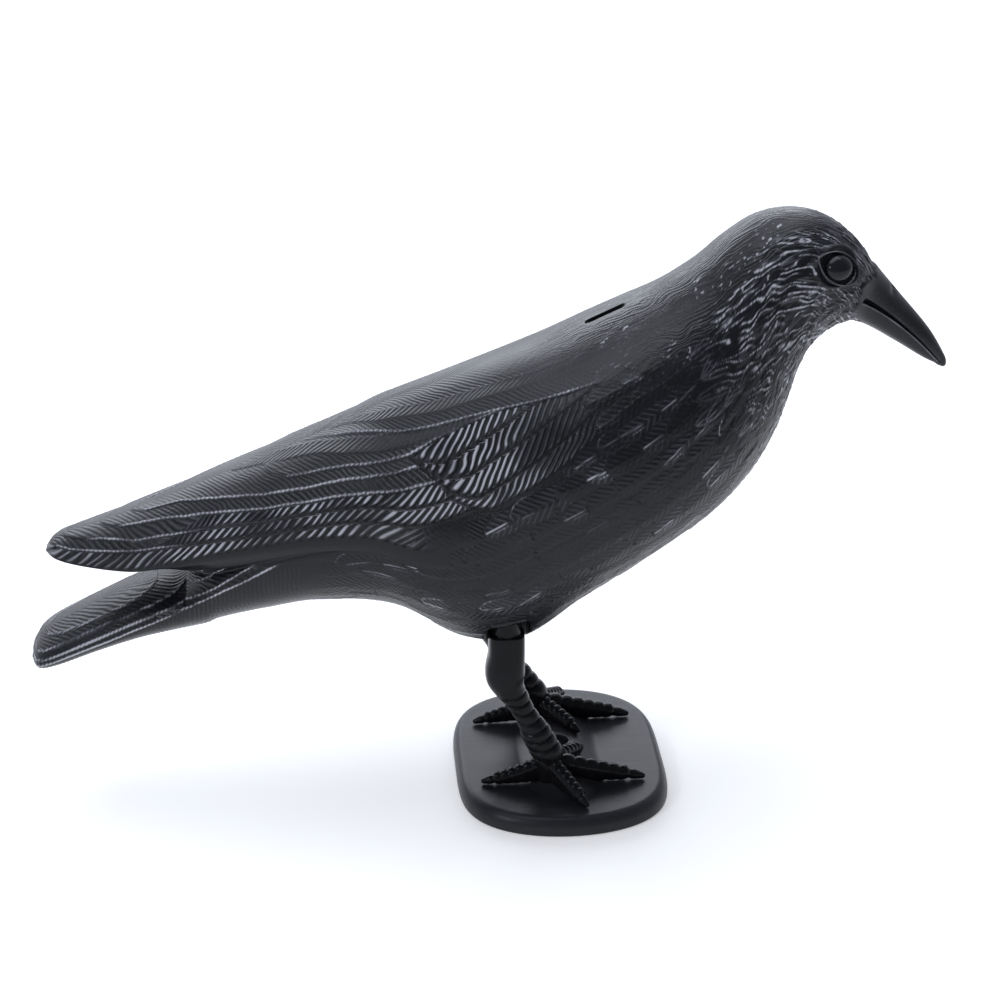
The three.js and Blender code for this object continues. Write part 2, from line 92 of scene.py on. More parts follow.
def plain_rib(*sizes: float) -> list[float]:
    """A rib without a groove: its groove and flank points lie on the curve from wing edge to belly.

    Args:
        sizes: back x and z, belly x and z, half-width and how far down, back and belly roundness.

    Returns:
        The rib's twelve numbers.
    """
    back_x, back_z, belly_x, belly_z, width, down, back_round, belly_round = sizes
    points: list[float] = []
    for share in (PLAIN_GROOVE, PLAIN_FLANK):
        points += [width * (1 - share**belly_round) ** (1 / belly_round), down + (1 - down) * share]
    return [back_x, back_z, belly_x, belly_z, width, down, *points, back_round, belly_round]


TRUNK_RIBS = [
    [-121, 136.7, -121, 78.5, 28.5, 0.357, 0, 0.6, 25.5, 0.72, 2, 2],
    [-112, 140.4, -113, 80.5, 30.6, 0.37, 19, 0.54, 28.5, 0.68, 2, 2],
    [-104, 143.5, -107, 83, 32.6, 0.38, 27, 0.52, 31, 0.63, 2, 2],
    [-88, 150, -89, 87, 36.4, 0.406, 34, 0.49, 35.3, 0.585, 2, 2],
    [-72, 156.8, -66, 90.5, 40.6, 0.43, 39.6, 0.475, 40.2, 0.54, 2, 2],
    [-56, 163.8, -37, 87, 45, 0.447, 44.7, 0.48, 44.6, 0.53, 2, 1.9],
    plain_rib(-40, 171.8, -8, 69.5, 49.5, 0.465, 2, 1.8),
    plain_rib(-24.5, 177.5, 16.5, 69.5, 52.5, 0.475, 2, 1.8),
    plain_rib(-8.5, 183, 40, 87, 54.5, 0.485, 2, 1.83),
    plain_rib(7.5, 188.5, 60, 102, 55.5, 0.495, 2.05, 1.93),
    plain_rib(23.5, 194.5, 79.5, 116.5, 55, 0.495, 2.1, 2),
    plain_rib(39, 202, 94.5, 128.5, 52, 0.495, 2.1, 2),
    plain_rib(54, 209, 105.5, 141, 47.5, 0.495, 2.1, 2),
    plain_rib(68, 215.8, 112.4, 151.5, 42, 0.495, 2.1, 2),
    plain_rib(81.5, 224.8, 116.8, 162, 37, 0.5, 2.1, 2.1),
    plain_rib(93.5, 235.4, 120, 172, 33, 0.5, 2.1, 2.1),
    plain_rib(106, 243.5, 122.5, 181.5, 30, 0.5, 2.1, 2.1),
    plain_rib(120, 245.9, 126, 190, 27, 0.5, 2.1, 2.1),
    plain_rib(133.5, 242.5, 131.5, 196, 23, 0.5, 2.1, 2.1),
    plain_rib(145.5, 233, 139, 200, 18, 0.52, 2.1, 2.2),
    plain_rib(153, 223, 147.5, 199.5, 12, 0.55, 2, 2.2),
    plain_rib(163.5, 210.3, 162.4, 191.2, 7.5, 0.55, 1.9, 2.2),
    plain_rib(177, 194, 176, 182.6, 4, 0.52, 2, 2.2),
    plain_rib(185.1, 181.2, 184.4, 178.2, 1.2, 0.5, 2, 2),
]
WING_RIBS = [
    [-121, 136.7, -121, 101.8, 28.5, 0.596, 0, 1, 0, 1, 2, 2],
    [-130, 133.2, -130, 106.2, 26.8, 0.71, 0, 1, 0, 1, 2, 2],
    [-141.5, 128.9, -141.5, 108.5, 24.2, 0.833, 0, 1, 0, 1, 2, 2],
    [-154, 124.2, -154, 109.4, 20, 0.85, 0, 1, 0, 1, 2, 2],
    [-166, 120.7, -166, 110, 14.8, 0.82, 0, 1, 0, 1, 2, 2],
    [-173, 117.6, -173, 110.3, 9.5, 0.72, 0, 1, 0, 1, 2, 2],
    [-176.5, 114, -176.5, 111, 3, 0.5, 0, 1, 0, 1, 2, 2],
]
TAIL_RIBS = [
    [-121, 101.8, -121, 78.5, 0, 0, 0, 0, 25.5, 0.3, 2, 2],
    [-130, 99.4, -130, 76.8, 0, 0, 0, 0, 24, 0.38, 2, 2],
    [-141.5, 95.8, -141.5, 74.2, 0, 0, 0, 0, 22.5, 0.44, 2, 2],
    [-157, 88.8, -157, 69.8, 0, 0, 0, 0, 21.5, 0.5, 2, 2],
    [-174, 79.8, -174, 64, 0, 0, 0, 0, 20.5, 0.5, 2, 2],
    [-182, 74.2, -182, 62.6, 0, 0, 0, 0, 17, 0.5, 2, 2],
    [-185.1, 70, -185.1, 65, 0, 0, 0, 0, 8, 0.5, 2, 2],
]
EDGE_ROUND = 1.25


def smooth_step(start: float, end: float, value: Array | float) -> Array:
    """0 before start and 1 after end, with a smooth rise between them.

    Args:
        start: where the rise begins. It may be more than end, for a fall.
        end: where the rise ends.
        value: the places to read it at.

    Returns:
        The rise at each place.
    """
    t = np.clip((value - start) / (end - start), 0.0, 1.0)
    return t * t * (3.0 - 2.0 * t)


def bump(width: float, distance: Array) -> Array:
    """A bell of height 1 round distance 0.

    Args:
        width: where the bell has fallen to about a third.
        distance: the places to read it at.

    Returns:
        The bell's height at each place.
    """
    return np.exp(-((distance / width) ** 2))


def wander(along: Array, across: Array, seed: int) -> Array:
    """Smooth noise between -1 and 1 with bumps about one unit wide.

    Args:
        along: the first coordinate, in bump widths.
        across: the second coordinate, in bump widths.
        seed: which noise it is.

    Returns:
        The noise at each place.
    """
    size = NOISE_CELLS
    table = np.random.default_rng(seed).uniform(-1.0, 1.0, (size, size))
    column = np.floor(along).astype(int)
    row = np.floor(across).astype(int)
    u = along - column
    v = across - row
    u = u * u * (3.0 - 2.0 * u)
    v = v * v * (3.0 - 2.0 * v)
    near, far = row % size, (row + 1) % size
    lower = table[column % size, near] * (1 - u) + table[(column + 1) % size, near] * u
    upper = table[column % size, far] * (1 - u) + table[(column + 1) % size, far] * u
    return lower * (1 - v) + upper * v


def curve_through(rows: Array, places: Array) -> Array:
    """A smooth curve through rows of numbers.

    Args:
        rows: the rows it passes through.
        places: where to read it, counted in rows.

    Returns:
        One row of numbers for each place.
    """
    index = np.minimum(np.floor(places).astype(int), len(rows) - 2)
    t = (places - index)[:, None]
    value, after = rows[index], rows[index + 1]
    start = (after - rows[np.maximum(index - 1, 0)]) / 2
    end = (rows[np.minimum(index + 2, len(rows) - 1)] - value) / 2
    cubic = 2 * value - 2 * after + start + end
    square = -3 * value + 3 * after - 2 * start - end
    return ((cubic * t + square) * t + start) * t + value


def rib_outlines(ribs: Array, steps: int) -> Array:
    """The half-outlines of ribs on the bird's left, from the back to the belly.

    Args:
        ribs: the ribs' twelve numbers, one rib a row.
        steps: steps along each of an outline's four stretches.

    Returns:
        Points in millimetres, by rib and place along the outline.
    """
    ends = (ribs[:, k][:, None] for k in (0, 1, 2, 3))
    sides = (ribs[:, k][:, None] for k in (4, 5, 6, 7, 8, 9))
    back_round, belly_round = (ribs[:, k][:, None] for k in (10, 11))
    back_x, back_z, belly_x, belly_z = ends
    wing, wing_at, groove, groove_at, flank, flank_at = sides
    turn = np.linspace(0.0, QUARTER, steps + 1)[None, :]
    rise = np.sin(turn)
    fall = np.cos(turn)
    fall[:, -1] = 0.0
    under = rise ** (2 / EDGE_ROUND)
    inward = 1 - fall ** (2 / EDGE_ROUND)
    bulges = flank > groove
    outward = np.where(bulges, rise, 1 - fall)
    down = np.where(bulges, 1 - fall, rise)
    stretches = [
        (wing * rise ** (2 / back_round), wing_at * (1 - fall ** (2 / back_round))),
        (wing + (groove - wing) * inward, wing_at + (groove_at - wing_at) * under),
        (groove + (flank - groove) * outward, groove_at + (flank_at - groove_at) * down),
        (flank * fall ** (2 / belly_round), flank_at + (1 - flank_at) * rise ** (2 / belly_round)),
    ]
    across = np.concatenate([y if k == 0 else y[:, 1:] for k, (y, _) in enumerate(stretches)], axis=1)
    depth = np.concatenate([v if k == 0 else v[:, 1:] for k, (_, v) in enumerate(stretches)], axis=1)
    x = back_x + (belly_x - back_x) * depth
    z = back_z + (belly_z - back_z) * depth
    return np.stack([x, across, z], axis=2)


def read_along(chain: Array, passed: Array, targets: Array) -> Array:
    """Points of a chain at given distances from its start.

    Args:
        chain: the chain's points.
        passed: each point's distance from the start, along the chain.
        targets: the distances to read it at.

    Returns:
        One point for each distance.
    """
    return np.stack([np.interp(targets, passed, chain[:, k]) for k in range(3)], axis=1)


class Lobe(Enum):
    """The skin's three stretches: the trunk, and behind the fork the folded wings and the tail."""

    TRUNK = 0
    WINGS = 1
    TAIL = 2

    @property
    def stretches(self) -> tuple[int, int]:
        """Which of a rib's four stretches its rings take, from the first up to the second."""
        return {Lobe.TRUNK: (0, 4), Lobe.WINGS: (0, 2), Lobe.TAIL: (2, 4)}[self]


@dataclass
class SkinPatch:
    """One lobe of the skin's left half, as rings of points from the back to the belly."""

    lobe: Lobe
    rows: Array
    points: Array
    share: Array
    arc: Array

    def full_ring_size(self) -> int:
        """How many points a ring has with its mirrored half."""
        return 2 * (self.points.shape[1] - 1)


@dataclass
class CrowSkin:
    """The bird's bare skin as the frame's source shapes it, but finely divided.

    Shares count along a rib: 0 is the middle of the back, 1 the wing's edge and 2 the middle of the belly.
    """

    trunk_rings: int = 600
    wing_rings: int = 104
    tail_rings: int = 118
    back_steps: int = 90
    edge_steps: int = 28
    groove_steps: int = 24
    belly_steps: int = 102
    fine_steps: int = 120
    even_from: float = 4.2
    even_to: float = 6.4
    share_columns: int = 128
    tip_from: float = 22.75
    tip_close: float = 0.97
    tip_fullness: float = 0.13
    tip_full_at: float = 22.4
    tip_full_span: float = 1.2
    behind_stretch: float = 1.06
    patches: dict[Lobe, SkinPatch] = field(default_factory=dict)
    lengthways: Array = field(default_factory=lambda: np.zeros(0))

    def build(self) -> None:
        """Works out the three patches and the distances along the body."""
        for lobe, ribs, rings in (
            (Lobe.TRUNK, TRUNK_RIBS, self.trunk_rings),
            (Lobe.WINGS, WING_RIBS, self.wing_rings),
            (Lobe.TAIL, TAIL_RIBS, self.tail_rings),
        ):
            self.patches[lobe] = self._patch(lobe, ribs, rings)
        self._round_beak()
        self._measure_lengthways()

    def _round_beak(self) -> None:
        """Closes the beak's last rings to a blunt round tip."""
        trunk = self.patches[Lobe.TRUNK]
        part = np.clip((trunk.rows - self.tip_from) / (trunk.rows[-1] - self.tip_from), 0.0, 1.0)
        fuller = 1 + self.tip_fullness * bump(self.tip_full_span, trunk.rows - self.tip_full_at)
        shrink = (fuller * np.sqrt(1 - (self.tip_close * part) ** 2))[:, None, None]
        centre = trunk.points.mean(axis=1, keepdims=True) * np.array([1.0, 0.0, 1.0])
        trunk.points = centre + (trunk.points - centre) * shrink

    def _patch(self, lobe: Lobe, ribs: list[list[float]], rings: int) -> SkinPatch:
        """One lobe's rings.

        Args:
            lobe: which lobe it is.
            ribs: its table of ribs, from the fork outwards.
            rings: how many rings it has.

        Returns:
            The patch. Behind the fork its rows count down from 0.
        """
        rows = np.linspace(0.0, len(ribs) - 1.0, rings)
        first, last = lobe.stretches
        counts = (self.back_steps, self.edge_steps, self.groove_steps, self.belly_steps)[first:last]
        steps = np.concatenate([np.arange(n) / n + k for k, n in enumerate(counts)] + [[len(counts)]])
        outlines = rib_outlines(curve_through(np.array(ribs, float), rows), self.fine_steps)
        outlines = outlines[:, first * self.fine_steps : last * self.fine_steps + 1]
        points, shares, arcs = [], [], []
        for row, chain in zip(rows, outlines):
            passed = np.r_[0.0, np.cumsum(np.linalg.norm(np.diff(chain, axis=0), axis=1))]
            knots = passed[:: self.fine_steps]
            stepped = np.interp(steps, np.arange(len(knots)), knots)
            even = np.linspace(0.0, passed[-1], len(stepped))
            weight = smooth_step(self.even_from, self.even_to, row) if lobe is Lobe.TRUNK else 0.0
            targets = stepped + (even - stepped) * weight
            points.append(read_along(chain, passed, targets))
            shares.append(self._shares(lobe, knots, targets))
            arcs.append(knots[1])
        rows = rows if lobe is Lobe.TRUNK else -rows
        return SkinPatch(lobe, rows, np.array(points), np.array(shares), np.array(arcs))

    def _shares(self, lobe: Lobe, knots: Array, targets: Array) -> Array:
        """The shares of one ring's points.

        Args:
            lobe: which lobe the ring belongs to.
            knots: distances of the ends of the ring's stretches from its start.
            targets: distances of its points from its start.

        Returns:
            One share for each point.
        """
        if lobe is Lobe.TAIL:
            return self.fork_share + (2 - self.fork_share) * targets / knots[-1]
        under = self.fork_share - 1 if lobe is Lobe.WINGS else 1.0
        below = 1 + under * (targets - knots[1]) / (knots[-1] - knots[1])
        return np.where(targets <= knots[1], targets / knots[1], below)

    @property
    def fork_share(self) -> float:
        """The share at which the fork's saddle lies."""
        trunk = self.patches.get(Lobe.TRUNK)
        return 1.0 if trunk is None else float(trunk.share[0, self.back_steps + self.edge_steps])

    def _measure_lengthways(self) -> None:
        """Distances along the trunk from the fork, by ring and by evenly stepped share."""
        trunk = self.patches[Lobe.TRUNK]
        shares = np.linspace(0.0, 2.0, self.share_columns + 1)
        lines = np.stack([read_along(p, s, shares) for p, s in zip(trunk.points, trunk.share)])
        steps = np.linalg.norm(np.diff(lines, axis=0), axis=2)
        self.lengthways = np.vstack([np.zeros(len(shares)), np.cumsum(steps, axis=0)])

    def length_at(self, patch: SkinPatch, share: Array) -> Array:
        """Distances from the fork along lines of equal share, negative behind it.

        Args:
            patch: the patch whose rings the places lie on.
            share: the lines' shares, one row for each ring of the patch.

        Returns:
            Distances in millimetres, in the shape of the shares.
        """
        if patch.lobe is not Lobe.TRUNK:
            behind = patch.points[:, :1, 0] - patch.points[0, 0, 0]
            return np.broadcast_to(behind * self.behind_stretch, share.shape)
        place = np.clip(share, 0.0, 2.0) * self.share_columns / 2
        column = np.minimum(np.floor(place).astype(int), self.share_columns - 1)
        ring = np.arange(len(patch.rows))[:, None]
        rest = place - column
        return self.lengthways[ring, column] * (1 - rest) + self.lengthways[ring, column + 1] * rest

    def length_of_rows(self, rows: Array, shares: Array) -> Array:
        """Distances from the fork of single places on the trunk.

        Args:
            rows: the places' ribs.
            shares: their shares.

        Returns:
            One distance in millimetres for each place.
        """
        lengths = []
        for row, share in zip(rows, np.clip(shares, 0.0, 2.0)):
            column = int(round(share * self.share_columns / 2))
            lengths.append(float(np.interp(row, self.patches[Lobe.TRUNK].rows, self.lengthways[:, column])))
        return np.array(lengths)

    @staticmethod
    def ring_lengths(patch: SkinPatch) -> tuple[Array, Array]:
        """The lengths of each ring's upper and lower half-outline.

        Args:
            patch: the patch.

        Returns:
            Lengths from the back to the wing's edge, and from there to the belly.
        """
        whole = np.linalg.norm(np.diff(patch.points, axis=1), axis=2).sum(axis=1)
        return patch.arc, np.maximum(whole - patch.arc, 1.0)


@dataclass
class Relief:
    """What stands on the skin, place by place.

    Heights and barb depths are millimetres. Crest marks pale lines and gleam pale barbs, both a painted
    highlight along the raised ridges that is partly wear.
    """

    height: Array
    barb: Array
    depth: Array
    crest: Array
    gleam: Array

    MARKS = ("barb", "depth", "crest", "gleam")
    STRENGTHS = ("height", "depth", "crest", "gleam")

    @classmethod
    def flat(cls, shape: tuple[int, ...]) -> "Relief":
        """A relief with nothing on it."""
        return cls(*(np.zeros(shape) for _ in range(5)))

    def mix(self, weight: Array, other: "Relief") -> None:
        """Lays another relief over this one.

        Args:
            weight: how much of the other shows, from 0 to 1.
            other: the relief to lay.
        """
        for name in self.STRENGTHS:
            mine = getattr(self, name)
            setattr(self, name, mine + (getattr(other, name) - mine) * weight)
        self.depth = self.depth * (1 - 4 * weight * (1 - weight))
        self.barb = np.where(weight > 0.5, other.barb, self.barb)

    def quieten(self, weight: Array) -> None:
        """Flattens everything by a weight from 0, untouched, to 1, bare."""
        for name in self.STRENGTHS:
            setattr(self, name, getattr(self, name) * (1 - weight))


@dataclass(frozen=True)
class Vane:
    """How a kind of feather is carved.

    Slant is the angle between quill and barb in degrees. Heights are millimetres. Line and bright say how
    pale the quill and the barbs are: a painted highlight along the raised ridges, partly also wear.
    """

    pitch: float
    slant: float
    barb: float
    lip: float
    quill: float
    crown: float = 0.1
    line: float = 0.6
    bright: float = 0.4

    def phase(self, along: Array, across: Array) -> Array:
        """How many barbs lie between a place and the feather's start.

        Args:
            along: distance towards the head, in millimetres.
            across: distance from the quill, in millimetres.

        Returns:
            The count, with its fraction.
        """
        turn = math.radians(self.slant)
        return (along * math.sin(turn) + np.abs(across) * math.cos(turn)) / self.pitch

    @staticmethod
    def ridge(phase: Array) -> Array:
        """The height of a row of barbs, from 0 in the grooves to 1 on the ridges."""
        return (0.5 + 0.5 * np.cos(2 * math.pi * phase)) ** 0.8


EDGE_SOFTNESS = 0.65
SHADE_SCALE = 11.0
DASH_PITCH = 1.9
DOT_PITCH = 1.6
SCATTER_SHAPE = (64, 512, 4)


def shading(along: Array, across: Array, seed: int) -> Array:
    """Patches where the painted highlight and wear are stronger or weaker.

    Args:
        along: distances along the body, in millimetres.
        across: distances round the body, in millimetres.
        seed: which pattern it is.

    Returns:
        Their strength, from 0 to 1.5.
    """
    return np.clip(0.85 + 0.6 * wander(along / SHADE_SCALE, across / SHADE_SCALE, seed), 0.0, 1.5)


@dataclass(frozen=True)
class LongFeather:
    """A wing or tail feather whose lower edge is a line over the skin, in ribs and shares.

    Its upper part lies under the feather above. The tip closes up from the lower edge to the top share in the
    given number of ribs. The quill lies some way inside the edge, and its painted highlight line fades
    between two ribs. Highlight and wear is the strength of the pale barbs by rib, a painted highlight that is
    partly wear, margin the width of the bare strip along the edge, step the width of the edge's drop, and
    front the rib at which the feather ends.
    """

    edge: Line
    tip: float
    closing: float
    top: float
    vane: Vane
    quill_in: float
    line_rows: tuple[float, float] = (90.0, 91.0)
    highlight_and_wear: Line = ((0.0, 1.0), (1.0, 1.0))
    margin: float = 1.0
    step: float = 6.0
    front: float = 99.0
    slope_shift: float = 7.7

    def lay_on(self, relief: Relief, row: Array, share: Array, along: Array,
               scale: Array, open_to: Array) -> None:
        """Lays the feather over a relief.

        Args:
            relief: the relief to change.
            row: the ribs of the skin's places.
            share: their shares.
            along: their distances from the fork.
            scale: millimetres in one share.
            open_to: how much of the feather may show, from 0 to 1.
        """
        ribs, shares = np.array(self.edge, float).T
        line = np.interp(row, ribs, shares)
        back = np.clip((self.tip + self.closing - row) / self.closing, 0.0, 1.0)
        closed = self.top + (line - self.top) * np.sqrt(1 - back**2)
        gap = np.minimum((closed - share) * scale, (row - self.tip) * 9.0)
        weight = smooth_step(-EDGE_SOFTNESS, EDGE_SOFTNESS, gap) * open_to
        weight = weight * smooth_step(self.front + 0.8, self.front, row)
        if weight.max() <= 0:
            return
        across = (share - line) * scale + self.quill_in
        lean = across + self.slope_shift * smooth_step(*self.line_rows, row)
        own = self.carving(gap, across, lean, along, share * scale, np.interp(row, *zip(*self.highlight_and_wear)))
        own.crest = own.crest * (1 - smooth_step(*self.line_rows, row))
        relief.mix(weight, own)

    def carving(self, gap: Array, across: Array, lean: Array, along: Array,
                around: Array, paleness: Array) -> Relief:
        """The feather's own relief.

        Args:
            gap: distances inside its outline.
            across: distances from its quill.
            lean: distances from where its barbs turn.
            along: distances along the body.
            around: distances round the body.
            paleness: how strong the painted highlight and wear are there.

        Returns:
            The relief.
        """
        sway = 0.3 * wander(along / 9.0, around / 4.0, 5)
        phase = self.vane.phase(along, lean) + sway
        ridge = self.vane.ridge(phase)
        fade = smooth_step(0.25 * self.margin, 1.1 * self.margin, gap) * (0.22 + 0.78 * np.minimum(paleness, 1.0))
        quill = bump(0.52, across + 0.15 * wander(along / 1.1, around / 3.0, 6))
        highlight_and_wear = shading(along, around, 8) * paleness
        dash = 0.5 + 0.5 * np.cos(2 * math.pi * along / DASH_PITCH + 2.0 * sway)
        patchy = 0.75 + 0.25 * wander(along / 7.0, around / 5.0, 9)
        height = -self.vane.lip * smooth_step(0.0, self.step, gap) * 0.8
        height = height + self.vane.quill * quill * (0.6 + 0.4 * dash)
        height = height - self.vane.barb * (1 - ridge) * fade
        # Pale quill dashes and pale barbs: painted highlight along the raised ridges, partly wear.
        crest = self.vane.line * quill * (0.45 + 0.55 * dash) * patchy * np.maximum(paleness, 0.8)
        gleam = self.vane.bright * smooth_step(0.4 * self.margin, 1.3 * self.margin, gap) * highlight_and_wear
        return Relief(height, phase, self.vane.barb * fade, crest, gleam)


@dataclass(frozen=True)
class TailFeather:
    """A tail feather whose lower edge is a line in the side view, in millimetres.

    Stretch turns a distance along +X into one along the sloping tail. Beyond is the gap where a ring doesn't
    cross the line.
    """

    edge: Line
    vane: Vane
    quill_in: float
    softness: float = 0.5
    stretch: float = 1.12
    beyond: float = 50.0

    def lay_on(self, relief: Relief, patch: SkinPatch, open_to: Array) -> None:
        """Lays the feather over a relief.

        Args:
            relief: the relief to change.
            patch: the patch that the relief belongs to.
            open_to: how much of the feather may show, from 0 to 1.
        """
        places = patch.points
        line = np.interp(places[..., 0], *zip(*self.edge))
        passed = np.cumsum(np.linalg.norm(np.diff(places, axis=1, prepend=places[:, :1]), axis=2), axis=1)
        over = places[..., 2] - line
        gap = np.full(passed.shape, -self.beyond)
        for ring in range(len(passed)):
            above = np.flatnonzero(over[ring] >= 0)
            if len(above) == 0:
                continue
            last = above[-1]
            if last == len(passed[ring]) - 1:
                gap[ring] = self.beyond
                continue
            part = over[ring, last] / max(over[ring, last] - over[ring, last + 1], 1e-6)
            here, after = passed[ring, last], passed[ring, last + 1]
            gap[ring] = here + part * (after - here) - passed[ring]
        weight = smooth_step(-self.softness, self.softness, gap) * open_to
        feather = LongFeather((), 0.0, 1.0, 0.0, self.vane, self.quill_in)
        along = places[..., 0] * self.stretch
        across = self.quill_in - gap
        relief.mix(weight, feather.carving(gap, across, across, along, passed, np.ones(gap.shape)))


@dataclass(frozen=True)
class FeatherTract:
    """Body feathers in staggered rows that overlap like tiles.

    A feather's tip is round for a small tip share and leaf-shaped for a large one. The front and rear lines
    say, as shares and ribs, between which ribs the feathers' tips may lie.
    """

    share_from: float
    share_to: float
    columns: int
    step: float
    length: float
    fill: float
    tip_round: float
    vane: Vane
    seed: int
    rear: Line
    front: Line
    jitter: float = 0.3
    edge_rim: float = 0.0
    sway: float = 0.12
    highlight_and_wear_share: float = 0.35
    one_sided: bool = True
    double_quill: float = 1.0
    rim_length: float = 1.0
    dotted: float = 0.6
    softness: float = 0.8

    def lay_on(self, relief: Relief, skin: CrowSkin, patch: SkinPatch) -> None:
        """Lays the tract's feathers over a relief, from the rear forwards.

        Args:
            relief: the relief to change.
            skin: the skin that they stand on.
            patch: the patch that the relief belongs to.
        """
        upper, lower = skin.ring_lengths(patch)
        width = (self.share_to - self.share_from) / self.columns
        scatter = np.random.default_rng(self.seed).uniform(-1.0, 1.0, SCATTER_SHAPE)
        column = np.floor((patch.share - self.share_from) / width).astype(int)
        numbers = np.arange(-2, self.columns + 3)
        middles = self.share_from + (numbers + 0.5) * width
        first = skin.length_of_rows(np.interp(middles, *zip(*self.rear)), middles)
        last = skin.length_of_rows(np.interp(middles, *zip(*self.front)), middles)
        for back in (2, 1, 0, -1):
            for parity in (0, 1):
                for side in (-1, 0, 1):
                    number = np.clip(column + side, numbers[0], numbers[-1])
                    middle = np.clip(self.share_from + (number + 0.5) * width, 0.0, 2.0)
                    scale = np.where(middle > 1, lower[:, None], upper[:, None])
                    along = skin.length_at(patch, middle)
                    stagger = 0.5 * parity
                    index = np.floor(along / self.step - stagger).astype(int) - back
                    draw = scatter[number % SCATTER_SHAPE[0], index % SCATTER_SHAPE[1]]
                    tip = (index + stagger + self.jitter * draw[..., 0]) * self.step
                    t = along - tip
                    lean = self.sway * draw[..., 1] * (t - 0.5 * self.length)
                    across = (patch.share - middle) * scale + lean
                    half = width * scale * self.fill * (1 + 0.15 * draw[..., 2])
                    form = np.clip(t / (self.tip_round * self.length), 0.0, 1.0)
                    outline = half * np.sqrt(np.clip(1 - (1 - form) ** 2, 0.0, 1.0))
                    gap = np.minimum(np.minimum(outline - np.abs(across), t), self.length - t)
                    place = number - numbers[0]
                    allowed = (number % 2 == parity) & (tip >= first[place]) & (tip <= last[place])
                    weight = smooth_step(-self.softness, self.softness, gap) * allowed
                    if weight.max() > 0:
                        relief.mix(weight, self._feather(t, across, gap, outline, draw))

    def _feather(self, t: Array, across: Array, gap: Array, outline: Array,
                 draw: Array) -> Relief:
        """One feather's own relief.

        Args:
            t: distances from its tip.
            across: distances from its quill.
            gap: distances inside its outline.
            outline: its half-width.
            draw: its random numbers.

        Returns:
            The relief.
        """
        phase = self.vane.phase(t, across) + 7.3 * draw[..., 0]
        ridge = self.vane.ridge(phase)
        fade = smooth_step(0.1, 0.8, gap)
        near_tip = smooth_step(self.step * 1.5 * self.rim_length, self.step * 0.4 * self.rim_length, t)
        quill = bump(0.36, across) * smooth_step(0.0, 1.5, t) * smooth_step(self.length, self.length * 0.5, t)
        upper_side = smooth_step(1.0, -1.0, across) if self.one_sided else 1.0
        dots = 0.5 + 0.5 * np.cos(2 * math.pi * (t + 0.8 * across) / DOT_PITCH)
        dots = 1 - self.dotted * (1 - dots)
        rim = bump(0.4, gap - 0.4) * near_tip * dots * upper_side
        if self.one_sided:
            rim = rim * smooth_step(-0.2, 0.3, draw[..., 2])
            quill = quill * smooth_step(0.6, 0.2, draw[..., 2])
        highlight_and_wear = np.clip(self.highlight_and_wear_share + 0.9 * draw[..., 3], 0.0, 1.3)
        dash = smooth_step(self.length * 0.45, self.length * 0.3, t)
        second = 0.8 * dots * bump(0.4, across - 1.5) * smooth_step(3.0, 5.0, t) * self.double_quill
        quill = np.maximum(quill, second)
        height = -self.vane.lip * np.clip(t / self.step, 0.0, 1.4) ** 0.9
        height = height - self.vane.crown * (across / np.maximum(outline, 0.1)) ** 2
        height = height - self.vane.barb * (1 - ridge) * fade + self.vane.quill * quill + self.edge_rim * rim
        # Pale quills, tip rims and barbs: painted highlight along the raised ridges, partly wear.
        crest = self.vane.line * highlight_and_wear * np.maximum(quill * dash, rim)
        return Relief(height, phase, self.vane.barb * fade, crest, self.vane.bright * fade * highlight_and_wear)


@dataclass(frozen=True)
class HairTract:
    """Fine wavy streaks that run lengthways, as on the nape and the crown."""

    pitch: float
    depth: float
    wave: float
    length: float
    seed: int
    line: float = 0.3
    specks: float = 0.9
    gaps: float = 0.35
    gleam: float = 0.1

    def relief(self, skin: CrowSkin, patch: SkinPatch) -> Relief:
        """The streaks' relief over a whole patch.

        Args:
            skin: the skin that they stand on.
            patch: the patch to cover.

        Returns:
            The relief.
        """
        upper, lower = skin.ring_lengths(patch)
        along = skin.length_at(patch, patch.share)
        beyond = upper[:, None] + (patch.share - 1) * lower[:, None]
        across = np.where(patch.share <= 1, patch.share * upper[:, None], beyond)
        wave, pitch, length = self.wave, self.pitch, self.length
        shift = 1.3 * wave * wander(along / length, across / 7.0, self.seed)
        shift = shift + 0.7 * wave * wander(along / (0.45 * length), across / (2.2 * pitch), self.seed + 1)
        shift = shift + 0.5 * pitch * wander(along / (0.5 * length), across / (0.9 * pitch), self.seed + 6)
        phase = (across + shift) / pitch
        broken = 0.5 + 0.5 * wander(along / (0.6 * length), (across + shift) / pitch, self.seed + 2)
        ridge = Vane.ridge(phase)
        speck = smooth_step(0.62, 0.8, wander(along / 1.5, across / 0.9, self.seed + 3))
        speck = speck * smooth_step(0.0, 0.5, wander(along / 14.0, across / 9.0, self.seed + 4))
        height = -self.depth * (1 - ridge * (0.1 + 0.9 * broken)) + 0.1 * speck
        rough = 0.6 + 0.4 * wander(along / 0.9, across / 0.9, self.seed + 5)
        streak = smooth_step(self.gaps, self.gaps + 0.4, broken)
        # Pale streak crests and specks: painted highlight.
        crest = self.line * ridge**4 * streak * rough + self.specks * speck
        return Relief(height, phase, np.full(phase.shape, self.depth * 0.5), crest, self.gleam * broken)


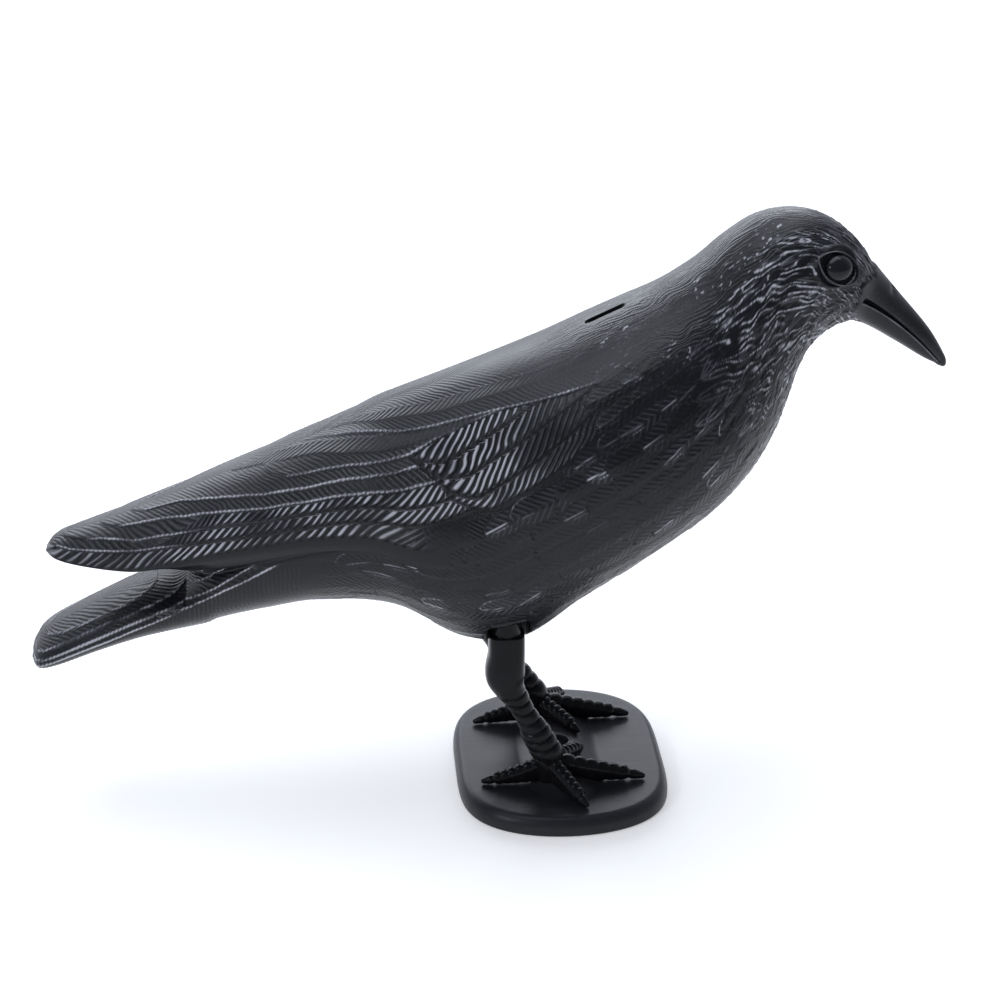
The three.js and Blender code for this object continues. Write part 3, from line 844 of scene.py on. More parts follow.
FLIGHT_FINE = Vane(pitch=1.9, slant=48, barb=0.08, lip=0.3, quill=0.3, line=1.7, bright=0.08)
FLIGHT_BOLD = Vane(pitch=2.5, slant=44, barb=0.3, lip=0.35, quill=0.24, line=1.7, bright=1.25)
FLIGHT_LOWEST = Vane(pitch=2.8, slant=42, barb=0.36, lip=0.3, quill=0.1, line=0.2, bright=1.4)
SECONDARY = Vane(pitch=3.2, slant=56, barb=0.38, lip=0.4, quill=0.0, line=0.0, bright=1.6)
SCAPULAR = Vane(pitch=1.8, slant=44, barb=0.1, lip=0.25, quill=0.14, line=0.5, bright=0.12)
SCAPULAR_EDGE = Vane(pitch=1.9, slant=44, barb=0.1, lip=0.3, quill=0.26, line=1.5, bright=0.12)
SMOOTH_EDGE = Vane(pitch=2.0, slant=44, barb=0.0, lip=0.0, quill=0.0, line=0.0, bright=0.0)
TAIL_VANE = Vane(pitch=1.8, slant=40, barb=0.07, lip=0.12, quill=0.3, line=1.8, bright=0.06)
TAIL_TOP = Vane(pitch=2.2, slant=40, barb=0.08, lip=0.12, quill=0.3, line=1.8, bright=0.0)
UNDER_TAIL = Vane(pitch=1.6, slant=55, barb=0.1, lip=0.2, quill=0.0, line=0.0, bright=0.1)

# Strength of the painted highlight and wear on the barbs, by rib.
RISING = ((-2.5, 0.05), (-0.5, 0.2), (1.6, 1.0), (7.0, 1.0))
FADING = ((6.0, 0.9), (8.2, 1.0), (9.0, 0.6), (9.9, 0.15))

# Wing feathers from the uppermost down. The first that reaches a place covers it.
WING_FEATHERS = [
    LongFeather(((5.0, 0.06), (5.7, 0.17), (7.2, 0.25), (8.2, 0.27), (9.4, 0.3), (11, 0.34), (12.5, 0.42)),
                4.6, 1.2, 0.0, SCAPULAR, 7.0),
    LongFeather(((4.4, 0.1), (5.4, 0.22), (6.2, 0.3), (7.3, 0.33), (8.6, 0.38), (9.4, 0.42), (10.5, 0.47),
                 (12, 0.5)),
                3.9, 1.2, 0.0, SCAPULAR_EDGE, 0.7),
    LongFeather(((2.6, 0.12), (4.2, 0.26), (4.9, 0.36), (5.6, 0.4), (6.3, 0.39), (8, 0.37)),
                2.2, 1.4, 0.0, SCAPULAR, 9.0),
    LongFeather(((3.3, 0.4), (3.9, 0.44), (5.3, 0.47), (6.3, 0.44), (7.0, 0.39), (7.6, 0.38), (8.6, 0.38)),
                3.0, 0.8, 0.15, FLIGHT_FINE, 0.7),
    LongFeather(((6.4, 0.49), (7.0, 0.52), (7.7, 0.5), (8.4, 0.47), (9.1, 0.43), (10.2, 0.4), (12, 0.38)),
                6.15, 0.7, 0.4, SECONDARY, 14.0, highlight_and_wear=FADING, margin=2.4),
    LongFeather(((6.6, 0.58), (7.4, 0.62), (8.0, 0.6), (8.8, 0.57), (9.4, 0.54), (10.6, 0.48), (12, 0.44)),
                6.3, 0.75, 0.42, SECONDARY, 16.0, highlight_and_wear=FADING, margin=2.6),
    LongFeather(((6.8, 0.68), (7.4, 0.73), (8.0, 0.72), (8.7, 0.69), (9.5, 0.65), (10.8, 0.57), (12, 0.5)),
                6.55, 0.8, 0.5, SECONDARY, 16.0, highlight_and_wear=FADING, margin=2.6),
    LongFeather(((7.0, 0.76), (7.6, 0.81), (8.3, 0.8), (9.1, 0.77), (9.8, 0.74), (11, 0.66), (12, 0.6)),
                6.75, 0.8, 0.62, FLIGHT_BOLD, 16.0, highlight_and_wear=FADING, margin=2.0),
    LongFeather(((-1.8, 0.16), (0.1, 0.25), (0.7, 0.32), (2, 0.41), (3, 0.52), (4, 0.57), (5.2, 0.56),
                 (6.3, 0.51)),
                -2.0, 0.8, 0.0, FLIGHT_FINE, 0.7),
    LongFeather(((-2.4, 0.34), (0.1, 0.48), (2, 0.57), (3, 0.65), (4, 0.68), (5, 0.67), (6.2, 0.61),
                 (6.6, 0.6)),
                -3.0, 1.1, 0.0, FLIGHT_FINE, 0.7),
    LongFeather(((-3, 0.5), (-1.9, 0.62), (0.1, 0.67), (2, 0.71), (3, 0.76), (4, 0.77), (5, 0.75),
                 (6.9, 0.69)),
                -4.4, 1.7, 0.0, FLIGHT_BOLD, 0.8, (-0.6, 1.8), RISING, margin=2.0),
    LongFeather(((-4.6, 0.6), (-3.9, 0.7), (-2, 0.75), (0.1, 0.8), (3, 0.86), (4, 0.87), (5.2, 0.84),
                 (7, 0.77)),
                -5.5, 1.3, 0.0, FLIGHT_BOLD, 0.8, (-1.6, 0.8), RISING, margin=2.0),
    LongFeather(((-6.5, 1.02), (-3.5, 1.02), (-1.6, 0.975), (1, 0.955), (5, 0.95), (7.6, 0.95)),
                -9.0, 0.5, 0.0, FLIGHT_LOWEST, 30.0, margin=1.6, front=5.7,
                highlight_and_wear=((-4.0, 0.7), (1.0, 1.0), (5.2, 1.0), (6.0, 0.5))),
    LongFeather(((-6.5, 1.1), (8.5, 1.1)), -9.0, 0.5, 0.0, SMOOTH_EDGE, 5.0, front=6.4),
]
# Tail feathers from the uppermost down, by their lower edges in the side view.
TAIL_FEATHERS = [
    TailFeather(((-182, 75), (-166, 82.5), (-152, 89), (-135.3, 97.3), (-126, 102.4), (-117.2, 108),
                 (-106, 117), (-96, 125)), TAIL_TOP, 0.8),
    TailFeather(((-182, 72.3), (-166.9, 79.6), (-152, 86.6), (-135.3, 94.0), (-126.3, 98.2), (-117.7, 103.2),
                 (-106.5, 112.4), (-94.9, 121)), TAIL_VANE, 0.8),
    TailFeather(((-182, 69.6), (-161.4, 78.6), (-148, 84.6), (-134.8, 90.8), (-124.8, 95.8), (-113, 102.8),
                 (-99.6, 112.4), (-90.3, 119), (-84, 122.5)), TAIL_VANE, 0.8),
    TailFeather(((-182, 67.2), (-170.3, 72.2), (-152.1, 79.6), (-135.3, 87.3), (-124.3, 93), (-113.9, 99.4),
                 (-105.8, 104.8), (-96.1, 110.3), (-88.5, 115.2), (-80.1, 120.6), (-72.2, 124.6)),
                TAIL_VANE, 0.8),
    TailFeather(((-190, 20.0), (-60, 20.0)), UNDER_TAIL, 30.0),
]

SHOULDER_VANE = Vane(pitch=2.0, slant=44, barb=0.06, lip=0.18, quill=0.26, crown=0.12, line=1.3, bright=0.42)
BACK_VANE = Vane(pitch=1.7, slant=45, barb=0.13, lip=0.35, quill=0.14, crown=0.12, line=0.35, bright=0.25)
BREAST_VANE = Vane(pitch=1.9, slant=44, barb=0.07, lip=0.14, quill=0.22, crown=0.1, line=1.3, bright=0.12)
THROAT_VANE = Vane(pitch=1.2, slant=16, barb=0.0, lip=0.16, quill=0.12, crown=0.15, line=0.45, bright=0.0)

SHOULDER_TRACT = FeatherTract(
    share_from=0.3, share_to=1.04, columns=7, step=13, length=27, fill=0.62, tip_round=0.4,
    vane=SHOULDER_VANE, seed=11, jitter=0.4, highlight_and_wear_share=0.15,
    rear=((0.3, 11.0), (0.4, 10.4), (0.5, 10.1), (0.65, 9.8), (0.78, 9.2), (0.84, 8.2), (0.9, 6.6),
          (1.04, 5.5)),
    front=((0.3, 13.0), (1.04, 13.4)),
)
BACK_TRACT = FeatherTract(
    share_from=-0.14, share_to=0.56, columns=5, step=17, length=36, fill=0.66, tip_round=0.3,
    vane=BACK_VANE, seed=12,
    rear=((0.0, 0.0), (1.0, 0.0)),
    front=((0.0, 12.0), (1.0, 12.0)),
)
BREAST_TRACT = FeatherTract(
    share_from=0.9, share_to=2.08, columns=10, step=17, length=36, fill=0.62, tip_round=0.42,
    vane=BREAST_VANE, seed=13, jitter=0.45, sway=0.18, highlight_and_wear_share=0.1,
    rear=((0.9, 4.2), (1.1, 3.8), (1.3, 3.0), (1.6, 1.4), (2.0, 0.4), (2.1, 0.4)),
    front=((0.9, 13.5), (2.1, 14.5)),
)
THROAT_TRACT = FeatherTract(
    share_from=-0.02, share_to=2.04, columns=26, step=8.0, length=17, fill=0.54, tip_round=0.8,
    vane=THROAT_VANE, seed=14, jitter=0.5, edge_rim=0.18, sway=0.4, highlight_and_wear_share=0.3, one_sided=False,
    double_quill=0.0, rim_length=1.4, dotted=0.0, softness=0.5,
    rear=((0.0, 18.4), (0.3, 17.4), (0.45, 16.2), (0.55, 15.2), (0.62, 12.6), (0.8, 12.0), (1.0, 11.8),
          (1.2, 11.8), (1.5, 12.4), (2.0, 13.0)),
    front=((0.0, 19.3), (0.6, 19.2), (1.0, 18.4), (2.0, 19.4)),
)
NAPE_HAIR = HairTract(
    pitch=1.7, depth=0.11, wave=2.0, length=13.0, seed=21, line=0.34, specks=0.8, gaps=0.45)
CHEEK_HAIR = HairTract(
    pitch=2.1, depth=0.4, wave=1.5, length=12.0, seed=41, line=1.6, specks=0.2, gaps=0.2)


@dataclass
class Plumage:
    """Lays the feathers, hairs, mouth, nostrils and the eyes' beds over the bare skin.

    The bare skin keeps the frame's size, so everything here goes inwards from it. Places on the head are x
    and z in the side view.
    """

    skin: CrowSkin
    quiet_depth: float = 0.4
    wing_edge: float = 1.06
    beak_row: float = 19.95
    beak_depth: float = 0.1
    mouth_rear: tuple[float, float] = (146.5, 212.3)
    mouth_front: tuple[float, float] = (181.2, 181.6)
    mouth_bow: float = 1.7
    mouth_half: float = 0.12
    mouth_gape: float = 0.8
    mouth_depth: float = 0.7
    mouth_gape_depth: float = 2.0
    lower_beak_in: float = 0.45
    nostril: tuple[float, float] = (160.0, 213.0)
    nostril_radius: float = 1.4
    nostril_depth: float = 0.5
    eye: tuple[float, float] = (133.4, 228.6)
    eye_bed: float = 9.6

    def relief(self, patch: SkinPatch) -> Relief:
        """The whole relief over a patch.

        Args:
            patch: the patch to cover.

        Returns:
            The relief, with no height above the bare skin.
        """
        row = np.broadcast_to(patch.rows[:, None], patch.share.shape)
        relief = Relief.flat(patch.share.shape)
        if patch.lobe is Lobe.TRUNK:
            BREAST_TRACT.lay_on(relief, self.skin, patch)
        if patch.lobe is not Lobe.WINGS:
            self._lay_tail(patch, relief)
        if patch.lobe is not Lobe.TAIL:
            self._lay_wing(patch, row, relief)
        if patch.lobe is Lobe.TRUNK:
            self._lay_front(patch, row, relief)
        relief.height = relief.height - self.quiet_depth
        if patch.lobe is Lobe.TRUNK:
            self._lay_head(patch, row, relief)
        relief.height = np.minimum(relief.height, 0.0)
        return relief

    @staticmethod
    def _lay_tail(patch: SkinPatch, relief: Relief) -> None:
        """Lays the tail's feathers, which begin under the folded wings.

        Args:
            patch: the trunk or the tail.
            relief: the relief to change.
        """
        tail_zone = smooth_step(-62.0, -76.0, patch.points[..., 0]) * smooth_step(1.1, 1.14, patch.share)
        for feather in reversed(TAIL_FEATHERS):
            feather.lay_on(relief, patch, tail_zone)

    def _lay_wing(self, patch: SkinPatch, row: Array, relief: Relief) -> None:
        """Lays the back's and the wing's feathers.

        Args:
            patch: the trunk or the wings.
            row: the ribs of its places.
            relief: the relief to change.
        """
        wing_zone = (patch.share < self.wing_edge) * np.ones(patch.share.shape)
        if patch.lobe is Lobe.TRUNK:
            wing_zone = smooth_step(13.0, 12.5, row) * wing_zone
            back = Relief.flat(patch.share.shape)
            BACK_TRACT.lay_on(back, self.skin, patch)
            relief.mix(smooth_step(1.0, 0.96, patch.share), back)
        along = self.skin.length_at(patch, patch.share)
        scale = np.broadcast_to(patch.arc[:, None], patch.share.shape)
        for feather in reversed(WING_FEATHERS):
            feather.lay_on(relief, row, patch.share, along, scale, wing_zone)

    def _lay_front(self, patch: SkinPatch, row: Array, relief: Relief) -> None:
        """Lays the feathers and hairs in front of the wing: shoulder, nape, throat and cheek.

        Args:
            patch: the trunk.
            row: the ribs of its places.
            relief: the relief to change.
        """
        SHOULDER_TRACT.lay_on(relief, self.skin, patch)
        streaks = smooth_step(7.0, 10.5, row - 5 * patch.share) * smooth_step(0.74, 0.6, patch.share)
        streaks = np.maximum(streaks, smooth_step(12.6, 13.4, row))
        relief.mix(streaks, NAPE_HAIR.relief(self.skin, patch))
        THROAT_TRACT.lay_on(relief, self.skin, patch)
        cheek = smooth_step(12.0, 14.5, row) * smooth_step(0.25, 0.42, patch.share + 0.04 * (row - 17))
        locks = CHEEK_HAIR.relief(self.skin, patch)
        relief.height = relief.height + 0.7 * cheek * locks.height
        relief.crest = np.maximum(relief.crest, cheek * locks.crest)

    def _lay_head(self, patch: SkinPatch, row: Array, relief: Relief) -> None:
        """Smooths the beak, cuts the mouth and the nostrils, and hollows the eyes' beds.

        Args:
            patch: the trunk.
            row: the ribs of its places.
            relief: the relief to change.
        """
        x, y, z = (patch.points[..., k] for k in range(3))
        share = patch.share
        boundary = self.beak_row - 0.8 * smooth_step(0.3, 1.0, share) + 0.6 * smooth_step(1.0, 1.6, share)
        boundary = boundary + 0.12 * wander(share * 14, row * 0, 31)
        beak = smooth_step(-0.1, 0.1, row - boundary)
        relief.quieten(beak)
        relief.height = relief.height - self.beak_depth * beak
        self._cut_mouth(x, z, relief)
        nostril = np.hypot(x - self.nostril[0], z - self.nostril[1])
        relief.height -= self.nostril_depth * bump(self.nostril_radius, nostril) * (y > 1.5)
        eye = np.hypot(x - self.eye[0], (z - self.eye[1]) * 1.15)
        bed = smooth_step(self.eye_bed, 8.4, eye) * (y > 8)
        relief.quieten(bed)
        relief.height = relief.height - bed * (0.3 + 0.6 * smooth_step(8.2, 6.8, eye))

    def _cut_mouth(self, x: Array, z: Array, relief: Relief) -> None:
        """Cuts the bowed mouth line, which opens and deepens towards its rear, and sets the lower beak in.

        Args:
            x: how far forward the skin's places are.
            z: how high they are.
            relief: the relief to change.
        """
        rear, front = np.array(self.mouth_rear), np.array(self.mouth_front)
        run = front - rear
        length = float(np.linalg.norm(run))
        run = run / length
        along = (x - rear[0]) * run[0] + (z - rear[1]) * run[1]
        part = np.clip(along / length, 0, 1)
        away = (x - rear[0]) * -run[1] + (z - rear[1]) * run[0] - self.mouth_bow * 4 * part * (1 - part)
        mouth = smooth_step(-1.0, 0.6, along) * smooth_step(length + 2, length - 1, along)
        half = self.mouth_half + self.mouth_gape * (1 - part) ** 2
        depth = self.mouth_depth + self.mouth_gape_depth * (1 - part)
        relief.height -= depth * mouth * np.clip(1.15 - np.abs(away) / (half + 0.2), 0.0, 1.0)
        lower_half = smooth_step(-half, -half - 0.5, away) * smooth_step(-8.0, -2.0, away)
        relief.height -= self.lower_beak_in * mouth * lower_half
        # Pale lines along the lower and the upper lip: painted highlight.
        relief.crest += 0.55 * mouth * bump(0.4, away + half + 0.5)
        relief.crest += 0.16 * mouth * bump(0.6, away - half - 0.6)


def mesh_object(name: str, points: Array, faces: Array,
                normals: Array | None = None) -> bpy.types.Object:
    """Makes a smooth-shaded object from points in millimetres.

    Args:
        name: the object's name.
        points: its points.
        faces: its triangles or quads as rows of point numbers.
        normals: its shading normals, or None for Blender's own.

    Returns:
        The object, linked to the scene.
    """
    mesh = bpy.data.meshes.new(name)
    corners = faces.shape[1]
    mesh.vertices.add(len(points))
    mesh.vertices.foreach_set("co", (points * MILLIMETRE).astype(np.float32).ravel())
    mesh.loops.add(faces.size)
    mesh.loops.foreach_set("vertex_index", faces.astype(np.int32).ravel())
    mesh.polygons.add(len(faces))
    mesh.polygons.foreach_set("loop_start", np.arange(0, faces.size, corners, dtype=np.int32))
    mesh.update(calc_edges=True)
    mesh.validate()
    mesh.shade_smooth()
    if normals is not None:
        mesh.normals_split_custom_set_from_vertices(normals.astype(np.float32))
    made = bpy.data.objects.new(name, mesh)
    bpy.context.scene.collection.objects.link(made)
    return made


def add_marks(piece: bpy.types.Object, marks: dict[str, Array]) -> None:
    """Stores numbers on a piece's points for its finish to read.

    Args:
        piece: the piece.
        marks: one number for each point, by the mark's name.
    """
    for name, values in marks.items():
        mark = piece.data.attributes.new(name, "FLOAT", "POINT")
        mark.data.foreach_set("value", values.astype(np.float32))


def place_piece(piece: bpy.types.Object, node: Node, slot: Slot, finish: bpy.types.Material) -> None:
    """Gives a piece its finish and says what it rides on, stands for and is made of.

    Args:
        piece: the piece.
        node: the frame's solid that it stands for.
        slot: the record's material slot.
        finish: its material.
    """
    piece.data.materials.append(finish)
    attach(piece, ROOT_BODY)
    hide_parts(node.value)
    LOG.info("%s stands for %s in %s: %d faces", piece.name, node.value, slot.value, len(piece.data.polygons))


def point_grid(rings: int, size: int) -> Array:
    """The numbers of the points of some rings, one ring a row."""
    return np.arange(rings * size).reshape(rings, size)


def wrap_quads(near: Array, far: Array) -> Array:
    """Quads between rings of points and the rings next to them, all the way round.

    Args:
        near: the point numbers of the rings, one ring a row.
        far: the point numbers of the ring next to each.

    Returns:
        Rows of four point numbers.
    """
    quads = np.stack([near, far, np.roll(far, -1, axis=1), np.roll(near, -1, axis=1)], axis=-1)
    return quads.reshape(-1, 4)


def cap_quads(ring: Array) -> Array:
    """Quads that close a ring of an even number of points, in the ring's own direction.

    Args:
        ring: the ring's point numbers.

    Returns:
        Rows of four point numbers.
    """
    step = np.arange(len(ring) // 2 - 1)
    back = len(ring) - 1 - step
    return np.stack([ring[step], ring[step + 1], ring[back - 1], ring[back]], axis=1)


def squared(wave: Array, power: Array | float) -> Array:
    """A sine or cosine raised to a power with its sign kept, which makes a round section squarer."""
    return np.sign(wave) * np.abs(wave) ** power


def both_halves(half: Array, flip: Array | float = 1.0) -> Array:
    """Rings over both sides of the bird from rings over its left half.

    Args:
        half: values from the back to the belly, one ring a row.
        flip: what the right side's values are multiplied by.

    Returns:
        Values all the way round.
    """
    return np.concatenate([half, half[:, -2:0:-1] * flip], axis=1)


def point_normals(points: Array, quads: Array) -> Array:
    """Smooth normals of a whole surface.

    Args:
        points: its points.
        quads: its faces.

    Returns:
        One unit normal for each point.
    """
    a, b, c, d = (points[quads[:, k]] for k in range(4))
    faces = np.cross(c - a, d - b)
    total = np.zeros_like(points)
    for axis in range(3):
        for corner in range(4):
            total[:, axis] += np.bincount(quads[:, corner], faces[:, axis], len(points))
    return total / np.maximum(np.linalg.norm(total, axis=1, keepdims=True), 1e-12)


@dataclass
class Band:
    """One stretch of the skin that becomes a piece of its own, from one trunk ring to another."""

    name: str
    lobe: Lobe
    ring_from: int
    ring_to: int


@dataclass
class CrowBody:
    """The moulded bird: skin, eyes and their rims."""

    finish: bpy.types.Material
    eye_finish: bpy.types.Material
    skin: CrowSkin = field(default_factory=CrowSkin)
    socket_x: float = 6.4
    leg_y: float = 25.0
    socket_radius: float = 9.5
    socket_outward: float = 16.0
    socket_inward: float = 10.0
    socket_top: float = 100.0
    socket_bore: tuple[float, float] = (6.4, 108.0)
    slot_middle: tuple[float, float] = (47.0, 205.0)
    slot_length: float = 17.0
    slot_width: float = 3.6
    slot_depth: float = 10.0
    slot_pitch: float = 0.48
    eye_place: Triple = (133.4, 21.3, 228.6)
    eye_radius: float = 5.7
    eye_squeeze: float = 0.88
    eye_rise: float = 0.62
    eye_pole: float = 0.1
    eye_turn: float = 0.3
    eye_tip: float = 0.36
    eye_rings: int = 20
    eye_steps: int = 64
    rim_rear: float = 9.4
    rim_front: float = 8.9
    rim_height: float = 6.1
    rim_wire: float = 0.27
    rim_rise: float = 0.8
    rim_sink: float = 2.2
    rim_point: float = 0.6
    rim_tilt: float = 0.5
    rim_highlight: float = 0.42
    rim_steps: int = 96
    rim_sides: int = 14

    def build(self) -> None:
        """Makes the skin's pieces and both eyes."""
        self.skin.build()
        bare, marks, numbers = self._whole_skin()
        self._join_fork(numbers)
        faces, starts = self._faces(numbers)
        out = point_normals(bare, faces)
        shaped = bare + out * marks["height"][:, None]
        shaped = self._cut_slot(bare, shaped, out)
        shaped = self._cut_sockets(bare, shaped, out)
        normals = point_normals(shaped, faces)
        for band in self._bands():
            size = numbers[band.lobe].shape[1]
            first = starts[band.lobe]
            own = faces[first + band.ring_from * size : first + band.ring_to * size]
            self._piece(band, shaped, normals, marks, own, self._open_end(band, numbers))
        for side in Side:
            self._eye(side)

    def _bands(self) -> list[Band]:
        """The stretches of skin that become pieces.

        Returns:
            Four bands of the trunk, then the wings and the tail.
        """
        rings = self.skin.trunk_rings
        return [
            Band("body_rear_skin", Lobe.TRUNK, 0, rings // 4),
            Band("body_middle_skin", Lobe.TRUNK, rings // 4, rings // 2),
            Band("breast_and_neck_skin", Lobe.TRUNK, rings // 2, 3 * rings // 4),
            Band("head_and_beak_skin", Lobe.TRUNK, 3 * rings // 4, rings - 1),
            Band("folded_wing_skin", Lobe.WINGS, 0, self.skin.wing_rings - 1),
            Band("tail_skin", Lobe.TAIL, 0, self.skin.tail_rings - 1),
        ]

    def _whole_skin(self) -> tuple[Array, dict[str, Array], dict[Lobe, Array]]:
        """The bare skin over both sides, and the relief that stands on it.

        Returns:
            Its points, the relief's numbers by name, and each lobe's point numbers, one ring a row.
        """
        plumage = Plumage(self.skin)
        points: list[Array] = []
        reliefs: list[dict[str, Array]] = []
        numbers: dict[Lobe, Array] = {}
        total = 0
        for lobe in Lobe:
            patch = self.skin.patches[lobe]
            numbers[lobe] = total + point_grid(len(patch.rows), patch.full_ring_size())
            total += numbers[lobe].size
            points.append(both_halves(patch.points, MIRROR).reshape(-1, 3))
            relief = plumage.relief(patch)
            reliefs.append({name: both_halves(values).ravel() for name, values in vars(relief).items()})
        marks = {name: np.concatenate([own[name] for own in reliefs]) for name in reliefs[0]}
        return np.concatenate(points), marks, numbers

    @staticmethod
    def _faces(numbers: dict[Lobe, Array]) -> tuple[Array, dict[Lobe, int]]:
        """The whole skin's quads.

        Args:
            numbers: each lobe's point numbers.

        Returns:
            The quads, and the number of each lobe's first one.
        """
        quads: list[Array] = []
        starts: dict[Lobe, int] = {}
        for lobe, number in numbers.items():
            near, far = (number[:-1], number[1:]) if lobe is Lobe.TRUNK else (number[1:], number[:-1])
            starts[lobe] = sum(len(own) for own in quads)
            quads.append(wrap_quads(near, far))
        return np.concatenate(quads), starts

    @staticmethod
    def _join_fork(numbers: dict[Lobe, Array]) -> None:
        """Makes the lobes' first rings the same points as the trunk's, so that the skin is one surface.

        Args:
            numbers: each lobe's point numbers, which it changes.
        """
        trunk = numbers[Lobe.TRUNK][0]
        tail_size = numbers[Lobe.TAIL].shape[1]
        wing_half = numbers[Lobe.WINGS].shape[1] // 2
        numbers[Lobe.WINGS][0, : wing_half + 1] = trunk[: wing_half + 1]
        numbers[Lobe.WINGS][0, wing_half + 1 :] = trunk[len(trunk) - wing_half + 1 :]
        numbers[Lobe.TAIL][0] = np.roll(trunk, -wing_half)[:tail_size]

    @staticmethod
    def _open_end(band: Band, numbers: dict[Lobe, Array]) -> Array | None:
        """The last ring of a band that ends in the open: the wings', the tail's or the beak's tip.

        Args:
            band: the band.
            numbers: each lobe's point numbers.

        Returns:
            The ring's point numbers, or None for a band that another one follows.
        """
        if band.lobe is Lobe.TRUNK and band.ring_to < len(numbers[Lobe.TRUNK]) - 1:
            return None
        return numbers[band.lobe][-1]

    def _piece(self, band: Band, points: Array, normals: Array, marks: dict[str, Array],
               faces: Array, end: Array | None) -> None:
        """Makes one piece of the skin.

        Args:
            band: the stretch that it is.
            points: the whole skin's points.
            normals: the whole skin's normals.
            marks: the whole skin's relief, by name.
            faces: the piece's own quads.
            end: the ring to close with quads across the middle plane, or None.
        """
        if end is not None:
            cap = cap_quads(end)
            faces = np.concatenate([faces, cap[:, ::-1] if band.lobe is Lobe.TRUNK else cap])
        kept, index = np.unique(faces, return_inverse=True)
        piece = mesh_object(band.name, points[kept], index.reshape(faces.shape), normals[kept])
        add_marks(piece, {name: marks[name][kept] for name in Relief.MARKS})
        place_piece(piece, Node.BODY, Slot.BODY, self.finish)

    def _cut_slot(self, bare: Array, shaped: Array, out: Array) -> Array:
        """Presses the narrow slot into the back.

        Args:
            bare: the bare skin's points.
            shaped: the points to change.
            out: the bare skin's normals.

        Returns:
            The changed points.
        """
        turn = self.slot_pitch
        along = (bare[:, 0] - self.slot_middle[0]) * math.cos(turn)
        along = along + (bare[:, 2] - self.slot_middle[1]) * math.sin(turn)
        radius = self.slot_width / 2
        reach = self.slot_length / 2 - radius
        beyond = np.maximum(np.abs(along) - reach, 0.0)
        away = np.hypot(beyond, bare[:, 1]) - radius
        near = out[:, 2] > 0.5
        inside = near & (away < -0.25)
        edge = near & (np.abs(away) <= 0.45)
        direction = np.stack([np.sign(along) * beyond * math.cos(turn), bare[:, 1],
                              np.sign(along) * beyond * math.sin(turn)], axis=1)
        direction /= np.maximum(np.linalg.norm(direction, axis=1, keepdims=True), 1e-9)
        result = shaped.copy()
        result[edge] -= direction[edge] * away[edge][:, None]
        inside &= ~edge
        result[inside] -= out[inside] * self.slot_depth
        return result

    def _cut_sockets(self, bare: Array, shaped: Array, out: Array) -> Array:
        """Presses the leg sockets into the belly.

        Args:
            bare: the bare skin's points.
            shaped: the points to change.
            out: the bare skin's normals.

        Returns:
            The changed points.
        """
        result = shaped.copy()
        flat = np.stack([bare[:, 0] - self.socket_x, np.abs(bare[:, 1]) - self.leg_y], axis=1)
        reach = np.where(flat[:, 1] > 0, self.socket_outward, self.socket_inward)
        radius, top = self.socket_radius, self.socket_top
        away = (flat[:, 0] ** 4 + (flat[:, 1] * radius / reach) ** 4) ** 0.25
        below = (out[:, 2] < -0.05) & (bare[:, 2] < top)
        edge = below & (np.abs(away - radius) < 0.5)
        scale = (radius / np.maximum(away, 1e-6))[:, None]
        move = flat * (scale - 1)
        move[:, 1] *= np.sign(bare[:, 1])
        result[edge, :2] += move[edge]
        inside = below & (away < radius) & ~edge
        result[inside, 2] = top
        bore, bore_top = self.socket_bore
        result[below & (np.linalg.norm(flat, axis=1) < bore), 2] = bore_top
        return result

    def _eye_matrix(self, side: Side) -> Matrix:
        """Where an eye sits and which way it faces.

        Args:
            side: which side it is on.

        Returns:
            Its matrix, in millimetres.
        """
        x, y, z = self.eye_place
        facing = Euler((side.value * self.eye_tip, 0.0, -side.value * self.eye_turn), "XYZ")
        turn_z = Matrix.Rotation(facing.z, 4, "Z")
        turn_x = Matrix.Rotation(facing.x, 4, "X")
        return Matrix.Translation((x, side.value * y, z)) @ turn_z @ turn_x

    def _eye(self, side: Side) -> None:
        """Makes one eyeball and its almond rim.

        Args:
            side: which side it is on.
        """
        place = np.array(self._eye_matrix(side))
        steps = self.eye_steps
        dome = []
        for k in range(self.eye_rings + 1):
            polar = QUARTER * max(k, self.eye_pole) / self.eye_rings
            for n in range(steps):
                angle = 2 * math.pi * n / steps
                dome.append([self.eye_radius * math.sin(polar) * math.cos(angle),
                             side.value * self.eye_rise * self.eye_radius * math.cos(polar),
                             self.eye_squeeze * self.eye_radius * math.sin(polar) * math.sin(angle)])
        number = point_grid(self.eye_rings + 1, steps)
        faces = np.concatenate([
            wrap_quads(number[:-1], number[1:]), cap_quads(number[0]), cap_quads(number[-1])[:, ::-1]])
        if side is Side.LEFT:
            faces = faces[:, ::-1]
        ball = mesh_object(f"{side.name.lower()}_eyeball", self._placed(place, np.array(dome)), faces)
        place_piece(ball, Node.BODY, Slot.BODY, self.eye_finish)
        place_piece(self._rim(side, place), Node.BODY, Slot.BODY, self.finish)

